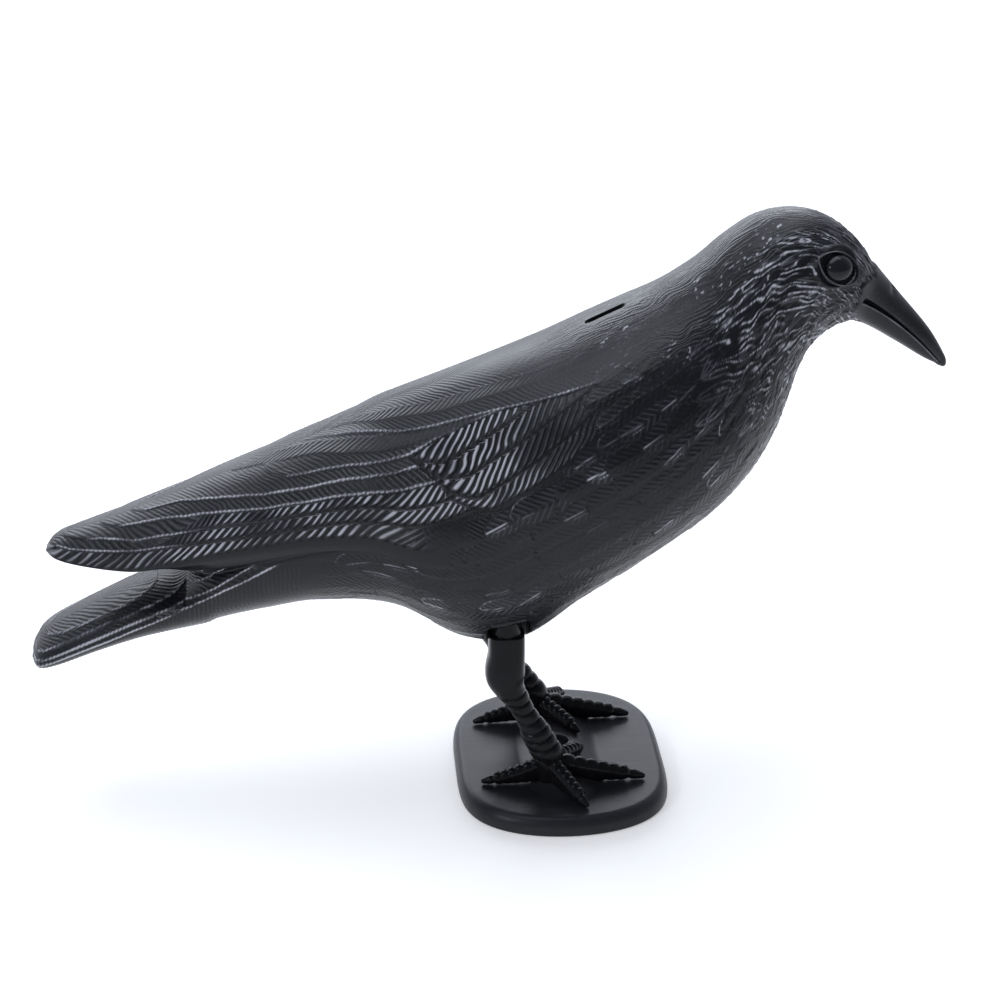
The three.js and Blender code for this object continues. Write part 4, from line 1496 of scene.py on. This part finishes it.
    def _rim(self, side: Side, place: Array) -> bpy.types.Object:
        """The almond rim round one eye.

        Args:
            side: which side it is on.
            place: the eye's matrix.

        Returns:
            The rim's object.
        """
        cos, sin = math.cos(self.rim_tilt), math.sin(self.rim_tilt)
        loop = []
        for k in range(self.rim_steps):
            angle = 2 * math.pi * k / self.rim_steps
            forward = math.cos(angle)
            reach = self.rim_front if forward > 0 else self.rim_rear
            narrow = 1.0 if forward > 0 else abs(math.sin(angle)) ** self.rim_point
            across = self.rim_height * math.sin(angle) * narrow
            ahead = reach * forward
            centre = np.array([ahead * cos + across * sin, 0.0, across * cos - ahead * sin])
            outward = np.array([math.cos(angle - self.rim_tilt), 0.0, math.sin(angle - self.rim_tilt)])
            for n in range(self.rim_sides):
                turn = 2 * math.pi * n / self.rim_sides
                rise = (self.rim_rise if math.sin(turn) > 0 else self.rim_sink) * math.sin(turn)
                place_out = centre + outward * self.rim_wire * math.cos(turn)
                loop.append(place_out + np.array([0.0, side.value * rise, 0.0]))
        number = point_grid(self.rim_steps, self.rim_sides)
        faces = wrap_quads(number, np.roll(number, -1, axis=0))
        if side is Side.LEFT:
            faces = faces[:, ::-1]
        made = mesh_object(f"{side.name.lower()}_eye_rim", self._placed(place, np.array(loop)), faces)
        zeros = np.zeros(len(loop))
        # The rim's pale crest is a painted highlight.
        add_marks(made, {"barb": zeros, "depth": zeros, "crest": zeros + self.rim_highlight, "gleam": zeros})
        return made

    @staticmethod
    def _placed(place: Array, points: Array) -> Array:
        """Moves points by a matrix."""
        return points @ place[:3, :3].T + place[:3, 3]


@dataclass
class Rod:
    """A closed body of rounded sections along a path.

    Wide, high and low are half-sizes across, above and below each centre, in millimetres. Square is 2 for a
    round section and more for a squarer one. Carve swells the surface, by share of the path and by angle.
    """

    centres: Array
    wide: Array
    high: Array
    low: Array
    reference: Triple
    sides: int
    square: Array
    carve: Callable[[Array, Array], Array] | None = None

    def build(self) -> tuple[Array, Array]:
        """The rod's points and quads.

        Returns:
            Points in millimetres and rows of four point numbers.
        """
        count = len(self.centres)
        along = np.gradient(self.centres, axis=0)
        along /= np.linalg.norm(along, axis=1, keepdims=True)
        across = np.cross(np.array(self.reference)[None, :], along)
        across /= np.linalg.norm(across, axis=1, keepdims=True)
        up = np.cross(along, across)
        angle = 2 * math.pi * np.arange(self.sides) / self.sides
        power = (2 / self.square)[:, None]
        cos = squared(np.cos(angle), power)
        sin = squared(np.sin(angle), power)
        height = np.where(np.sin(angle)[None, :] > 0, self.high[:, None], self.low[:, None])
        swell = np.ones((count, self.sides))
        if self.carve is not None:
            swell = self.carve(np.broadcast_to(np.arange(count)[:, None] / (count - 1), swell.shape),
                               np.broadcast_to(angle[None, :], swell.shape))
        points = (self.centres[:, None, :]
                  + across[:, None, :] * (self.wide[:, None] * cos * swell)[..., None]
                  + up[:, None, :] * (height * sin * swell)[..., None])
        number = point_grid(count, self.sides)
        quads = wrap_quads(number[1:], number[:-1])
        quads = np.concatenate([quads, cap_quads(number[0])[:, ::-1], cap_quads(number[-1])])
        return points.reshape(-1, 3), quads


@dataclass(frozen=True)
class Toe:
    """One toe: where its knuckle and claw are, for the left foot, and its half-width."""

    knuckle: Triple
    claw: Triple
    half_width: float


@dataclass
class CrowLeg:
    """One leg: upper leg with its stub, scaly lower leg and four beaded toes."""

    side: Side
    finish: bpy.types.Material
    leg_y: float = 25.0
    lean_from: float = 66.0
    lean_to: float = 16.0
    bow_left: float = -4.0
    bow_right: float = 0.0
    waist: float = 0.8
    waist_span: float = 0.625
    shank_rings: int = 90
    tarsus_rings: int = 131
    ball_rings: int = 11
    shaft_sides: int = 48
    scutes: float = 7.0
    scaly_rings: tuple[int, int] = (86, 222)
    scute_swell: float = 0.055
    crease_depth: float = 0.1
    crease_width: float = 0.07
    toe_rings: int = 110
    toe_sides: int = 32
    toe_wall: float = 7.0
    toe_beads: float = 7.0
    bead_rise: float = 0.34
    claw_from: float = 0.8
    claw_slim: float = 0.92
    sole: float = 8.12
    shank: tuple[tuple[float, ...], ...] = (
        (6.4, 107.4, 5.9, 5.9, 2.0),
        (6.4, 90.0, 5.9, 5.9, 2.0),
        (6.4, 80.6, 5.9, 5.9, 2.0),
        (6.4, 79.4, 6.9, 6.4, 3.0),
        (6.4, 78.2, 7.3, 6.7, 3.4),
        (6.4, 70.0, 7.4, 6.8, 3.0),
        (5.8, 63.0, 8.0, 7.0, 2.6),
        (6.1, 58.5, 7.8, 6.8, 2.3),
        (7.6, 54.0, 6.4, 5.9, 2.1),
        (9.6, 50.4, 5.3, 5.1, 2.0),
    )
    tarsus_foot: tuple[float, ...] = (23.6, 22.0, 6.3, 5.8, 2.0)
    ball: tuple[float, ...] = (25.0, 9.0, 5.0, 4.8, 2.0)
    toe_root: Triple = (24.0, 25.0, 19.0)
    toes: tuple[Toe, ...] = (
        Toe((9.5, 25.0, 12.8), (-3.9, 24.2, 9.2), 3.0),
        Toe((31.4, 36.2, 14.0), (38.0, 46.8, 9.2), 3.4),
        Toe((46.0, 25.5, 13.6), (64.4, 25.6, 9.2), 3.4),
        Toe((33.2, 15.0, 16.0), (40.3, 6.0, 12.8), 3.2),
    )

    def build(self) -> None:
        """Makes the leg as one object of closed bodies that grow out of each other."""
        points, faces, total = [], [], 0
        for own, quads in [self._shaft()] + [self._toe(toe) for toe in self.toes]:
            points.append(own)
            faces.append(quads + total)
            total += len(own)
        node = Node.LEFT_LEG if self.side is Side.LEFT else Node.RIGHT_LEG
        name = f"{self.side.name.lower()}_scaly_leg"
        leg = mesh_object(name, np.concatenate(points), np.concatenate(faces))
        place_piece(leg, node, Slot.LEG, self.finish)

    def _lean(self, height: Array) -> Array:
        """How far the lower leg bows back.

        Args:
            height: the heights to read it at.

        Returns:
            A shift along +X for each height, in millimetres.
        """
        amount = self.bow_left if self.side is Side.LEFT else self.bow_right
        share = np.clip((self.lean_from - height) / (self.lean_from - self.lean_to), 0.0, 1.0)
        return amount * np.sin(math.pi * share)

    def _shaft(self) -> tuple[Array, Array]:
        """The leg from its stub down to the ball of the foot.

        Returns:
            Its points and quads.
        """
        hock, foot = np.array(self.shank[-1]), np.array(self.tarsus_foot)
        upper = curve_through(np.array(self.shank), np.linspace(0, len(self.shank) - 1, self.shank_rings))
        share = np.linspace(0, 1, self.tarsus_rings + 1)[1:, None]
        lower = hock + (foot - hock) * share
        slim = 1 - (1 - self.waist) * np.sin(math.pi * np.minimum(share / self.waist_span, 1.0))
        lower[:, 2:4] *= slim
        ball = foot + (np.array(self.ball) - foot) * np.linspace(0, 1, self.ball_rings + 1)[1:, None]
        rows = np.concatenate([upper, lower, ball])
        middle = np.full(len(rows), self.side.value * self.leg_y)
        centres = np.stack([rows[:, 0] + self._lean(rows[:, 1]), middle, rows[:, 1]], 1)
        scaly_from, scaly_to = (ring / len(rows) for ring in self.scaly_rings)

        def scutes(along: Array, angle: Array) -> Array:
            """Rings that swell between slanted creases.

            Args:
                along: places along the leg, from 0 at the stub to 1 at the foot.
                angle: places round it.

            Returns:
                How much the leg swells there, with 1 for not at all.
            """
            place = (along - scaly_from) / (scaly_to - scaly_from)
            slanted = place + 0.05 * np.cos(angle) + 0.02 * np.sin(2 * angle + 1)
            count = slanted * self.scutes
            within = count - np.floor(count)
            crease = np.exp(-((np.minimum(within, 1 - within) / self.crease_width) ** 2))
            crown = 1 - (2 * within - 1) ** 2
            fade = smooth_step(-0.02, 0.06, place) * smooth_step(1.08, 0.98, place)
            front = bump(0.25, np.abs(angle) - 0.9) * 0.02
            return 1 + fade * (self.scute_swell * crown - self.crease_depth * crease) + fade * front

        rod = Rod(centres, wide=rows[:, 2], high=rows[:, 3], low=rows[:, 3], reference=(0.0, 1.0, 0.0),
                  sides=self.shaft_sides, square=rows[:, 4], carve=scutes)
        return rod.build()

    def _toe(self, toe: Toe) -> tuple[Array, Array]:
        """One toe with its beads, its claw and the thin wall under it.

        Args:
            toe: the toe's places.

        Returns:
            Its points and quads.
        """
        side = np.array([1.0, self.side.value, 1.0])
        root = np.array(self.toe_root) * side
        claw = np.array(toe.claw) * side
        middle = np.array(toe.knuckle) * side * 2 - (root + claw) / 2
        t = np.linspace(0.0, 1.0, self.toe_rings)[:, None]
        path = root * (1 - t) ** 2 + middle * 2 * t * (1 - t) + claw * t**2
        share = t[:, 0]
        claw_from = self.claw_from
        shrink = 1 - 0.25 * np.minimum(share, claw_from)
        left = (1 - share + 0.02) / (1 - claw_from + 0.02)
        half = toe.half_width * (shrink * np.sqrt(np.minimum(left, 1.0)))
        half *= np.where(share > claw_from, self.claw_slim, 1.0)

        def beads(along: Array, angle: Array) -> Array:
            """Pearls along the toe's top, with creases between them, up to the claw.

            Args:
                along: places along the toe, from 0 at its root to 1 at its tip.
                angle: places round it.

            Returns:
                How much the toe swells there, with 1 for not at all.
            """
            count = along / claw_from * self.toe_beads
            within = count - np.floor(count)
            crown = np.sqrt(np.clip(1 - (2 * within - 1) ** 2, 0.0, 1.0))
            scaly = smooth_step(claw_from, claw_from - 0.02, along) * smooth_step(0.04, 0.12, along)
            top = smooth_step(0.55, 0.95, np.sin(angle))
            collar = bump(0.03, along - claw_from - 0.01) * 0.22
            return 1 + scaly * (self.bead_rise * (crown - 0.55) * top + 0.07 * (crown - 0.6)) - collar

        low = half + self.toe_wall * (1 - share)
        low = np.minimum(low, np.maximum(path[:, 2] - self.sole, 0.4))
        rod = Rod(path, wide=half, high=half, low=low, reference=(0.0, 0.0, 1.0), sides=self.toe_sides,
                  square=np.full(len(share), 2.0), carve=beads)
        points, quads = rod.build()
        points[:, 2] = np.maximum(points[:, 2], self.sole)
        return points, quads


@dataclass
class BasePlate:
    """The moulded base plate with its low hump, round hole and rounded rim."""

    finish: bpy.types.Material
    centre_x: float = 31.0
    half_x: float = 44.2
    half_y: float = 55.2
    power_x: float = 2.0
    power_y: float = 4.0
    thickness: float = 7.8
    foot: float = 1.0
    foot_rise: float = 0.9
    shoulder_from: float = 2.0
    shoulder: float = 4.2
    hump_half_width: float = 18.0
    hump_half_length: float = 40.0
    hump_straight: float = 20.0
    hump_height: float = 5.2
    hump_flatness: float = 1.35
    hole: float = 4.0
    hole_lip: float = 0.5
    hole_sink: float = 0.15
    hole_depths: tuple[float, ...] = (0.0, 3.0, 6.0, 9.0)
    lip_rings: int = 4
    top_rings: int = 84
    shoulder_rings: int = 22
    side_rings: int = 3
    foot_rings: int = 4
    underside: tuple[float, ...] = (0.85, 0.6, 0.3)
    steps: int = 320

    def _outline(self, inset: float) -> Array:
        """The plate's plan.

        Args:
            inset: how far it is drawn in all round.

        Returns:
            Points round the plate's middle.
        """
        angle = 2 * math.pi * np.arange(self.steps) / self.steps
        x = squared(np.cos(angle), 2 / self.power_x)
        y = squared(np.sin(angle), 2 / self.power_y)
        return np.stack([(self.half_x - inset) * x, (self.half_y - inset) * y], axis=1)

    def _rise(self, flat: Array) -> Array:
        """The hump's height.

        Args:
            flat: places in the plan.

        Returns:
            One height for each place.
        """
        beyond = np.maximum(np.abs(flat[:, 1]) - self.hump_straight, 0)
        beyond = beyond / (self.hump_half_length - self.hump_straight)
        reach = np.minimum(np.hypot(flat[:, 0] / self.hump_half_width, beyond), 1)
        return self.hump_height / 2 * (1 + np.cos(math.pi * reach**self.hump_flatness))

    def _ring(self, flat: Array, height: Array | float) -> Array:
        """One ring of points, from its plan and its height."""
        return np.column_stack([flat[:, 0] + self.centre_x, flat[:, 1], np.broadcast_to(height, len(flat))])

    def build(self) -> None:
        """Makes the plate as one closed surface: up the hole, over the top and back under it."""
        angle = 2 * math.pi * np.arange(self.steps) / self.steps
        circle = np.stack([np.cos(angle), np.sin(angle)], axis=1)
        inner = self._outline(self.shoulder)
        outer = self._outline(self.foot)
        lip = self.hole_lip
        rings = [self._ring(circle * self.hole, height) for height in self.hole_depths]
        top = self.thickness + self.hump_height
        for k in range(self.lip_rings + 1):
            turn = QUARTER * k / self.lip_rings
            height = top - lip + lip * math.sin(turn) - self.hole_sink
            rings.append(self._ring(circle * (self.hole + lip * (1 - math.cos(turn))), height))
        for k in range(1, self.top_rings + 1):
            share = k / self.top_rings
            flat = circle * (self.hole + lip) * (1 - share) + inner * share
            rings.append(self._ring(flat, self.thickness + self._rise(flat)))
        for k in range(1, self.shoulder_rings + 1):
            turn = QUARTER * (1 - k / self.shoulder_rings)
            height = self.shoulder_from + (self.thickness - self.shoulder_from) * math.sin(turn)
            rings.append(self._ring(self._outline(self.shoulder * (1 - math.cos(turn))), height))
        for k in range(1, self.side_rings + 1):
            height = self.shoulder_from + (self.foot_rise - self.shoulder_from) * k / self.side_rings
            rings.append(self._ring(self._outline(0.0), height))
        for k in range(1, self.foot_rings + 1):
            turn = QUARTER * k / self.foot_rings
            plan = self._outline(self.foot * (1 - math.cos(turn)))
            rings.append(self._ring(plan, self.foot_rise * (1 - math.sin(turn))))
        for share in self.underside:
            rings.append(self._ring(circle * self.hole * (1 - share) + outer * share, 0.0))
        number = point_grid(len(rings), self.steps)
        quads = wrap_quads(number, np.roll(number, -1, axis=0))
        plate = mesh_object("moulded_base_plate", np.array(rings).reshape(-1, 3), quads)
        place_piece(plate, Node.BASE, Slot.BASE, self.finish)


class NodeTree:
    """A short way to lay nodes out in a material, with its shader at the end."""

    def __init__(self, name: str) -> None:
        """Starts an empty material.

        Args:
            name: the material's name.
        """
        self.material = bpy.data.materials.new(name)
        self.material.use_nodes = True
        self.nodes = self.material.node_tree.nodes
        self.links = self.material.node_tree.links
        self.shader = self.nodes["Principled BSDF"]

    def add(self, kind: str, **settings: object) -> bpy.types.Node:
        """Adds a node.

        Args:
            kind: the node's type.
            settings: its properties by name.

        Returns:
            The node.
        """
        node = self.nodes.new(kind)
        for name, value in settings.items():
            setattr(node, name, value)
        return node

    def math(self, operation: str, first: object, second: object = 0.0) -> Socket:
        """Adds a calculation of two sockets or numbers.

        Args:
            operation: the calculation's name.
            first: its first socket or number.
            second: its second socket or number.

        Returns:
            The result's socket.
        """
        node = self.add("ShaderNodeMath", operation=operation)
        for socket, value in zip(node.inputs, (first, second)):
            if isinstance(value, Socket):
                self.links.new(value, socket)
            else:
                socket.default_value = value
        return node.outputs[0]

    def mark(self, name: str) -> Socket:
        """Reads a mark that a piece's points carry."""
        return self.add("ShaderNodeAttribute", attribute_name=name).outputs["Fac"]

    def noise(self, scale: float, detail: float = 4.0,
              stretch: Triple = (1, 1, 1)) -> Socket:
        """Adds noise over the object's own coordinates.

        Args:
            scale: bumps in a metre.
            detail: how many finer layers it has.
            stretch: how much faster it changes along each axis.

        Returns:
            The noise's socket.
        """
        place = self.add("ShaderNodeTexCoord").outputs["Object"]
        mapping = self.add("ShaderNodeMapping")
        mapping.inputs["Scale"].default_value = stretch
        self.links.new(place, mapping.inputs["Vector"])
        node = self.add("ShaderNodeTexNoise")
        node.inputs["Scale"].default_value = scale
        node.inputs["Detail"].default_value = detail
        self.links.new(mapping.outputs["Vector"], node.inputs["Vector"])
        return node.outputs["Fac"]

    def ramp(self, source: Socket,
             stops: list[tuple[float, tuple[float, ...]]]) -> Socket:
        """Turns a number into a colour.

        Args:
            source: the number's socket.
            stops: places from 0 to 1 with their colours.

        Returns:
            The colour's socket.
        """
        node = self.add("ShaderNodeValToRGB")
        while len(node.color_ramp.elements) < len(stops):
            node.color_ramp.elements.new(0.5)
        for element, (place, colour) in zip(node.color_ramp.elements, stops):
            element.position = place
            element.color = (*colour, 1.0)
        self.links.new(source, node.inputs["Fac"])
        return node.outputs["Color"]

    def span(self, source: Socket, low: float, high: float) -> Socket:
        """Maps a number from 0..1 to another range.

        Args:
            source: the number's socket.
            low: what 0 becomes.
            high: what 1 becomes.

        Returns:
            The result's socket.
        """
        node = self.add("ShaderNodeMapRange")
        node.inputs["To Min"].default_value = low
        node.inputs["To Max"].default_value = high
        self.links.new(source, node.inputs["Value"])
        return node.outputs["Result"]

    def to_shader(self, socket: str, source: Socket) -> None:
        """Joins a socket to one of the shader's."""
        self.links.new(source, self.shader.inputs[socket])

    def raise_by(self, height: Socket, distance: float) -> None:
        """Joins a height to the shader's normal as a bump.

        Args:
            height: the height's socket.
            distance: how far a height of 1 stands out, in metres.
        """
        node = self.add("ShaderNodeBump")
        node.inputs["Distance"].default_value = distance
        node.inputs["Strength"].default_value = 1.0
        self.links.new(height, node.inputs["Height"])
        self.to_shader("Normal", node.outputs["Normal"])


@dataclass(frozen=True)
class FeatherFinish:
    """Black moulded plastic with crisp barbs, and paler, smoother crests: a painted highlight along the
    raised ridges, partly also wear.

    The relief's marks say where barbs and crests lie. Barb bump adds to the barbs that the mesh already has.
    """

    groove: Triple = (0.003, 0.003, 0.004)
    skin: Triple = (0.009, 0.0092, 0.0125)
    # Pale tones for crests and barbs: painted highlight, partly wear.
    dim_highlight_and_wear: Triple = (0.06, 0.061, 0.07)
    crest: Triple = (0.46, 0.46, 0.5)
    rough_low: float = 0.27
    rough_high: float = 0.42
    crest_smoothing: float = 0.1
    shine: float = 0.29
    barb_highlight_weight: float = 0.8
    highlight_and_wear_low: float = 0.4
    highlight_and_wear_high: float = 1.7
    highlight_and_wear_in_tone: float = 0.8
    mottling_in_tone: float = 0.25
    grain_scale: float = 900.0
    mottling_scale: float = 60.0
    barb_bump: float = 1.2
    grain_bump: float = 0.12

    def material(self) -> bpy.types.Material:
        """Makes the finish.

        Returns:
            The material.
        """
        tree = NodeTree("feathered_black_plastic")
        barb = tree.mark("barb")
        depth = tree.mark("depth")
        wave = tree.math("COSINE", tree.math("MULTIPLY", barb, 2 * math.pi))
        ridge = tree.math("ADD", tree.math("MULTIPLY", wave, 0.5), 0.5)
        barb_highlight_and_wear = tree.math("MULTIPLY", tree.math("POWER", ridge, 2.0), tree.mark("gleam"))
        crest = tree.math("MAXIMUM", tree.mark("crest"), tree.math("MULTIPLY", barb_highlight_and_wear, self.barb_highlight_weight))
        grain = tree.noise(self.grain_scale, 3.0)
        mottling = tree.noise(self.mottling_scale, 5.0)
        paleness = tree.math("MULTIPLY", crest, tree.span(mottling, self.highlight_and_wear_low, self.highlight_and_wear_high))
        tone = tree.math("ADD", tree.math("MULTIPLY", paleness, self.highlight_and_wear_in_tone),
                         tree.math("MULTIPLY", mottling, self.mottling_in_tone))
        # The ramp's pale stops are the painted highlight on crests and barbs, partly wear.
        stops = [(0.0, self.groove), (0.2, self.skin), (0.45, self.dim_highlight_and_wear), (1.0, self.crest)]
        tree.to_shader("Base Color", tree.ramp(tone, stops))
        rough = tree.math("SUBTRACT", tree.span(mottling, self.rough_low, self.rough_high),
                          tree.math("MULTIPLY", crest, self.crest_smoothing))
        tree.to_shader("Roughness", rough)
        height = tree.math("ADD", tree.math("MULTIPLY", ridge, tree.math("MULTIPLY", depth, self.barb_bump)),
                           tree.math("MULTIPLY", grain, self.grain_bump))
        tree.raise_by(height, MILLIMETRE)
        tree.shader.inputs["Specular IOR Level"].default_value = self.shine
        return tree.material


@dataclass(frozen=True)
class SmoothPlastic:
    """Plain black moulded plastic: a fine grain, faint streaks, and paler convex edges and darker hollows by
    curvature.
    """

    name: str
    dark: Triple
    pale: Triple
    rough_low: float
    rough_high: float
    grain: float
    streaks: Triple = (1.0, 1.0, 1.0)
    streak_scale: float = 70.0
    shine: float = 0.25
    grain_scale: float = 1400.0
    streaks_in_tone: float = 0.6
    curvature_in_tone: float = 0.4
    streak_bump: float = 0.15

    def material(self) -> bpy.types.Material:
        """Makes the finish.

        Returns:
            The material.
        """
        tree = NodeTree(self.name)
        streaks = tree.noise(self.streak_scale, 5.0, self.streaks)
        grain = tree.noise(self.grain_scale, 2.0)
        # Pointiness makes convex edges paler and hollows darker.
        edge = tree.add("ShaderNodeNewGeometry").outputs["Pointiness"]
        paleness = tree.span(edge, 0.0, 1.0)
        tone = tree.math("ADD", tree.math("MULTIPLY", streaks, self.streaks_in_tone),
                         tree.math("MULTIPLY", paleness, self.curvature_in_tone))
        tree.to_shader("Base Color", tree.ramp(tone, [(0.3, self.dark), (0.75, self.pale)]))
        tree.to_shader("Roughness", tree.span(streaks, self.rough_low, self.rough_high))
        height = tree.math("ADD", tree.math("MULTIPLY", grain, self.grain),
                           tree.math("MULTIPLY", streaks, self.streak_bump))
        tree.raise_by(height, MILLIMETRE * 0.5)
        tree.shader.inputs["Specular IOR Level"].default_value = self.shine
        return tree.material


@dataclass(frozen=True)
class Softbox:
    """One lamp: where it hangs, what it points at, its width and height in metres and its watts."""

    name: str
    place: Triple
    aim: Triple
    size: tuple[float, float]
    power: float


@dataclass
class Studio:
    """The pale floor, soft lights and the camera, in metres and degrees."""

    target: Triple = (0.0059, 0.0, 0.1265)
    azimuth: float = -4.8
    elevation: float = 25.0
    distance: float = 0.903
    lens: float = 80.53
    sensor_width: float = 36.0
    far_limit: float = 50.0
    floor_reach: float = 4000.0
    floor_tone: Triple = (0.86, 0.86, 0.86)
    floor_pale: Triple = (0.88, 0.88, 0.88)
    front_glow: float = 0.2
    back_glow: float = 0.75
    floor_glow: float = 0.35
    lamp_tone: Triple = (0.88, 0.92, 1.0)
    room_tone: tuple[float, float, float, float] = (0.84, 0.88, 1.0, 1.0)
    lamps: tuple[Softbox, ...] = (
        Softbox("overhead_softbox", (-0.1, 0.2, 1.5), (0.0, 0.0, 0.1), (1.6, 1.0), 13.0),
        Softbox("back_softbox", (-0.2, 1.6, 0.8), (0.0, 0.0, 0.1), (2.0, 0.8), 16.0),
        Softbox("left_softbox", (-1.1, -0.9, 0.9), (0.0, 0.0, 0.12), (0.25, 0.25), 5.0),
    )

    def build(self) -> None:
        """Makes the floor, lights, world and camera."""
        self._floor()
        for lamp in self.lamps:
            self._light(lamp)
        self._world()
        bpy.context.scene.view_settings.view_transform = "Standard"
        self._camera()

    def _floor(self) -> None:
        """Lays a wide sheet of pale paper that glows a little, so that it stays even."""
        far = self.floor_reach
        corners = np.array([[-far, -far, 0], [far, -far, 0], [far, far, 0], [-far, far, 0]], float)
        floor = mesh_object("pale_floor", corners, np.array([[0, 1, 2, 3]]))
        tree = NodeTree("pale_paper")
        stops = [(0.0, self.floor_tone), (1.0, self.floor_pale)]
        tree.to_shader("Base Color", tree.ramp(tree.noise(30.0), stops))
        inputs = tree.shader.inputs
        inputs["Roughness"].default_value = 0.9
        inputs["Specular IOR Level"].default_value = 0.1
        inputs["Emission Color"].default_value = (1.0, 1.0, 1.0, 1.0)
        inputs["Emission Strength"].default_value = self.floor_glow
        floor.data.materials.append(tree.material)

    def _world(self) -> None:
        """Makes the white room, which is brighter behind the object than in front of it."""
        world = bpy.data.worlds.new("white_room")
        bpy.context.scene.world = world
        world.use_nodes = True
        nodes, links = world.node_tree.nodes, world.node_tree.links
        background = nodes["Background"]
        background.inputs["Color"].default_value = self.room_tone
        direction = nodes.new("ShaderNodeSeparateXYZ")
        links.new(nodes.new("ShaderNodeTexCoord").outputs["Generated"], direction.inputs[0])
        fall = nodes.new("ShaderNodeMapRange")
        fall.interpolation_type = "SMOOTHSTEP"
        fall.inputs["From Min"].default_value = -0.6
        fall.inputs["From Max"].default_value = 0.8
        fall.inputs["To Min"].default_value = self.front_glow
        fall.inputs["To Max"].default_value = self.back_glow
        links.new(direction.outputs["Y"], fall.inputs["Value"])
        links.new(fall.outputs["Result"], background.inputs["Strength"])

    def _light(self, lamp: Softbox) -> None:
        """Hangs one softbox.

        Args:
            lamp: its sizes and place.
        """
        data = bpy.data.lights.new(lamp.name, "AREA")
        data.shape = "RECTANGLE"
        data.size, data.size_y = lamp.size
        data.energy = lamp.power
        data.color = self.lamp_tone
        light = bpy.data.objects.new(lamp.name, data)
        light.location = lamp.place
        light.rotation_euler = (Vector(lamp.aim) - Vector(lamp.place)).to_track_quat("-Z", "Y").to_euler()
        bpy.context.scene.collection.objects.link(light)

    def _camera(self) -> None:
        """Sets the camera at the photograph's angle."""
        data = bpy.data.cameras.new("studio_camera")
        data.lens = self.lens
        data.sensor_width = self.sensor_width
        data.clip_end = self.far_limit
        camera = bpy.data.objects.new("studio_camera", data)
        turn, rise = math.radians(self.azimuth), math.radians(self.elevation)
        back = Vector((math.sin(turn) * math.cos(rise), -math.cos(turn) * math.cos(rise), math.sin(rise)))
        camera.location = Vector(self.target) + back * self.distance
        camera.rotation_euler = (-back).to_track_quat("-Z", "Y").to_euler()
        bpy.context.scene.collection.objects.link(camera)
        bpy.context.scene.camera = camera


def main() -> None:
    """Builds the studio and the ornament's sub-assemblies."""
    logging.basicConfig(level=logging.INFO, format="%(name)s: %(message)s")
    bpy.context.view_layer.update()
    Studio().build()
    feathers = FeatherFinish().material()
    eye = SmoothPlastic("glossy_eye_plastic", dark=(0.008, 0.008, 0.01), pale=(0.016, 0.016, 0.02),
                        rough_low=0.1, rough_high=0.2, grain=0.05)
    legs = SmoothPlastic("glossy_leg_plastic", dark=(0.004, 0.004, 0.005), pale=(0.012, 0.012, 0.014),
                         rough_low=0.18, rough_high=0.3, grain=0.12, shine=0.13)
    base = SmoothPlastic("satin_base_plastic", dark=(0.014, 0.014, 0.017), pale=(0.028, 0.028, 0.033),
                         rough_low=0.3, rough_high=0.42, grain=0.15, streaks=(0.15, 1.0, 1.0),
                         streak_scale=200.0)
    CrowBody(feathers, eye.material()).build()
    leg_finish = legs.material()
    for side in Side:
        CrowLeg(side, leg_finish).build()
    BasePlate(base.material()).build()


if __name__ == "__main__":
    main()
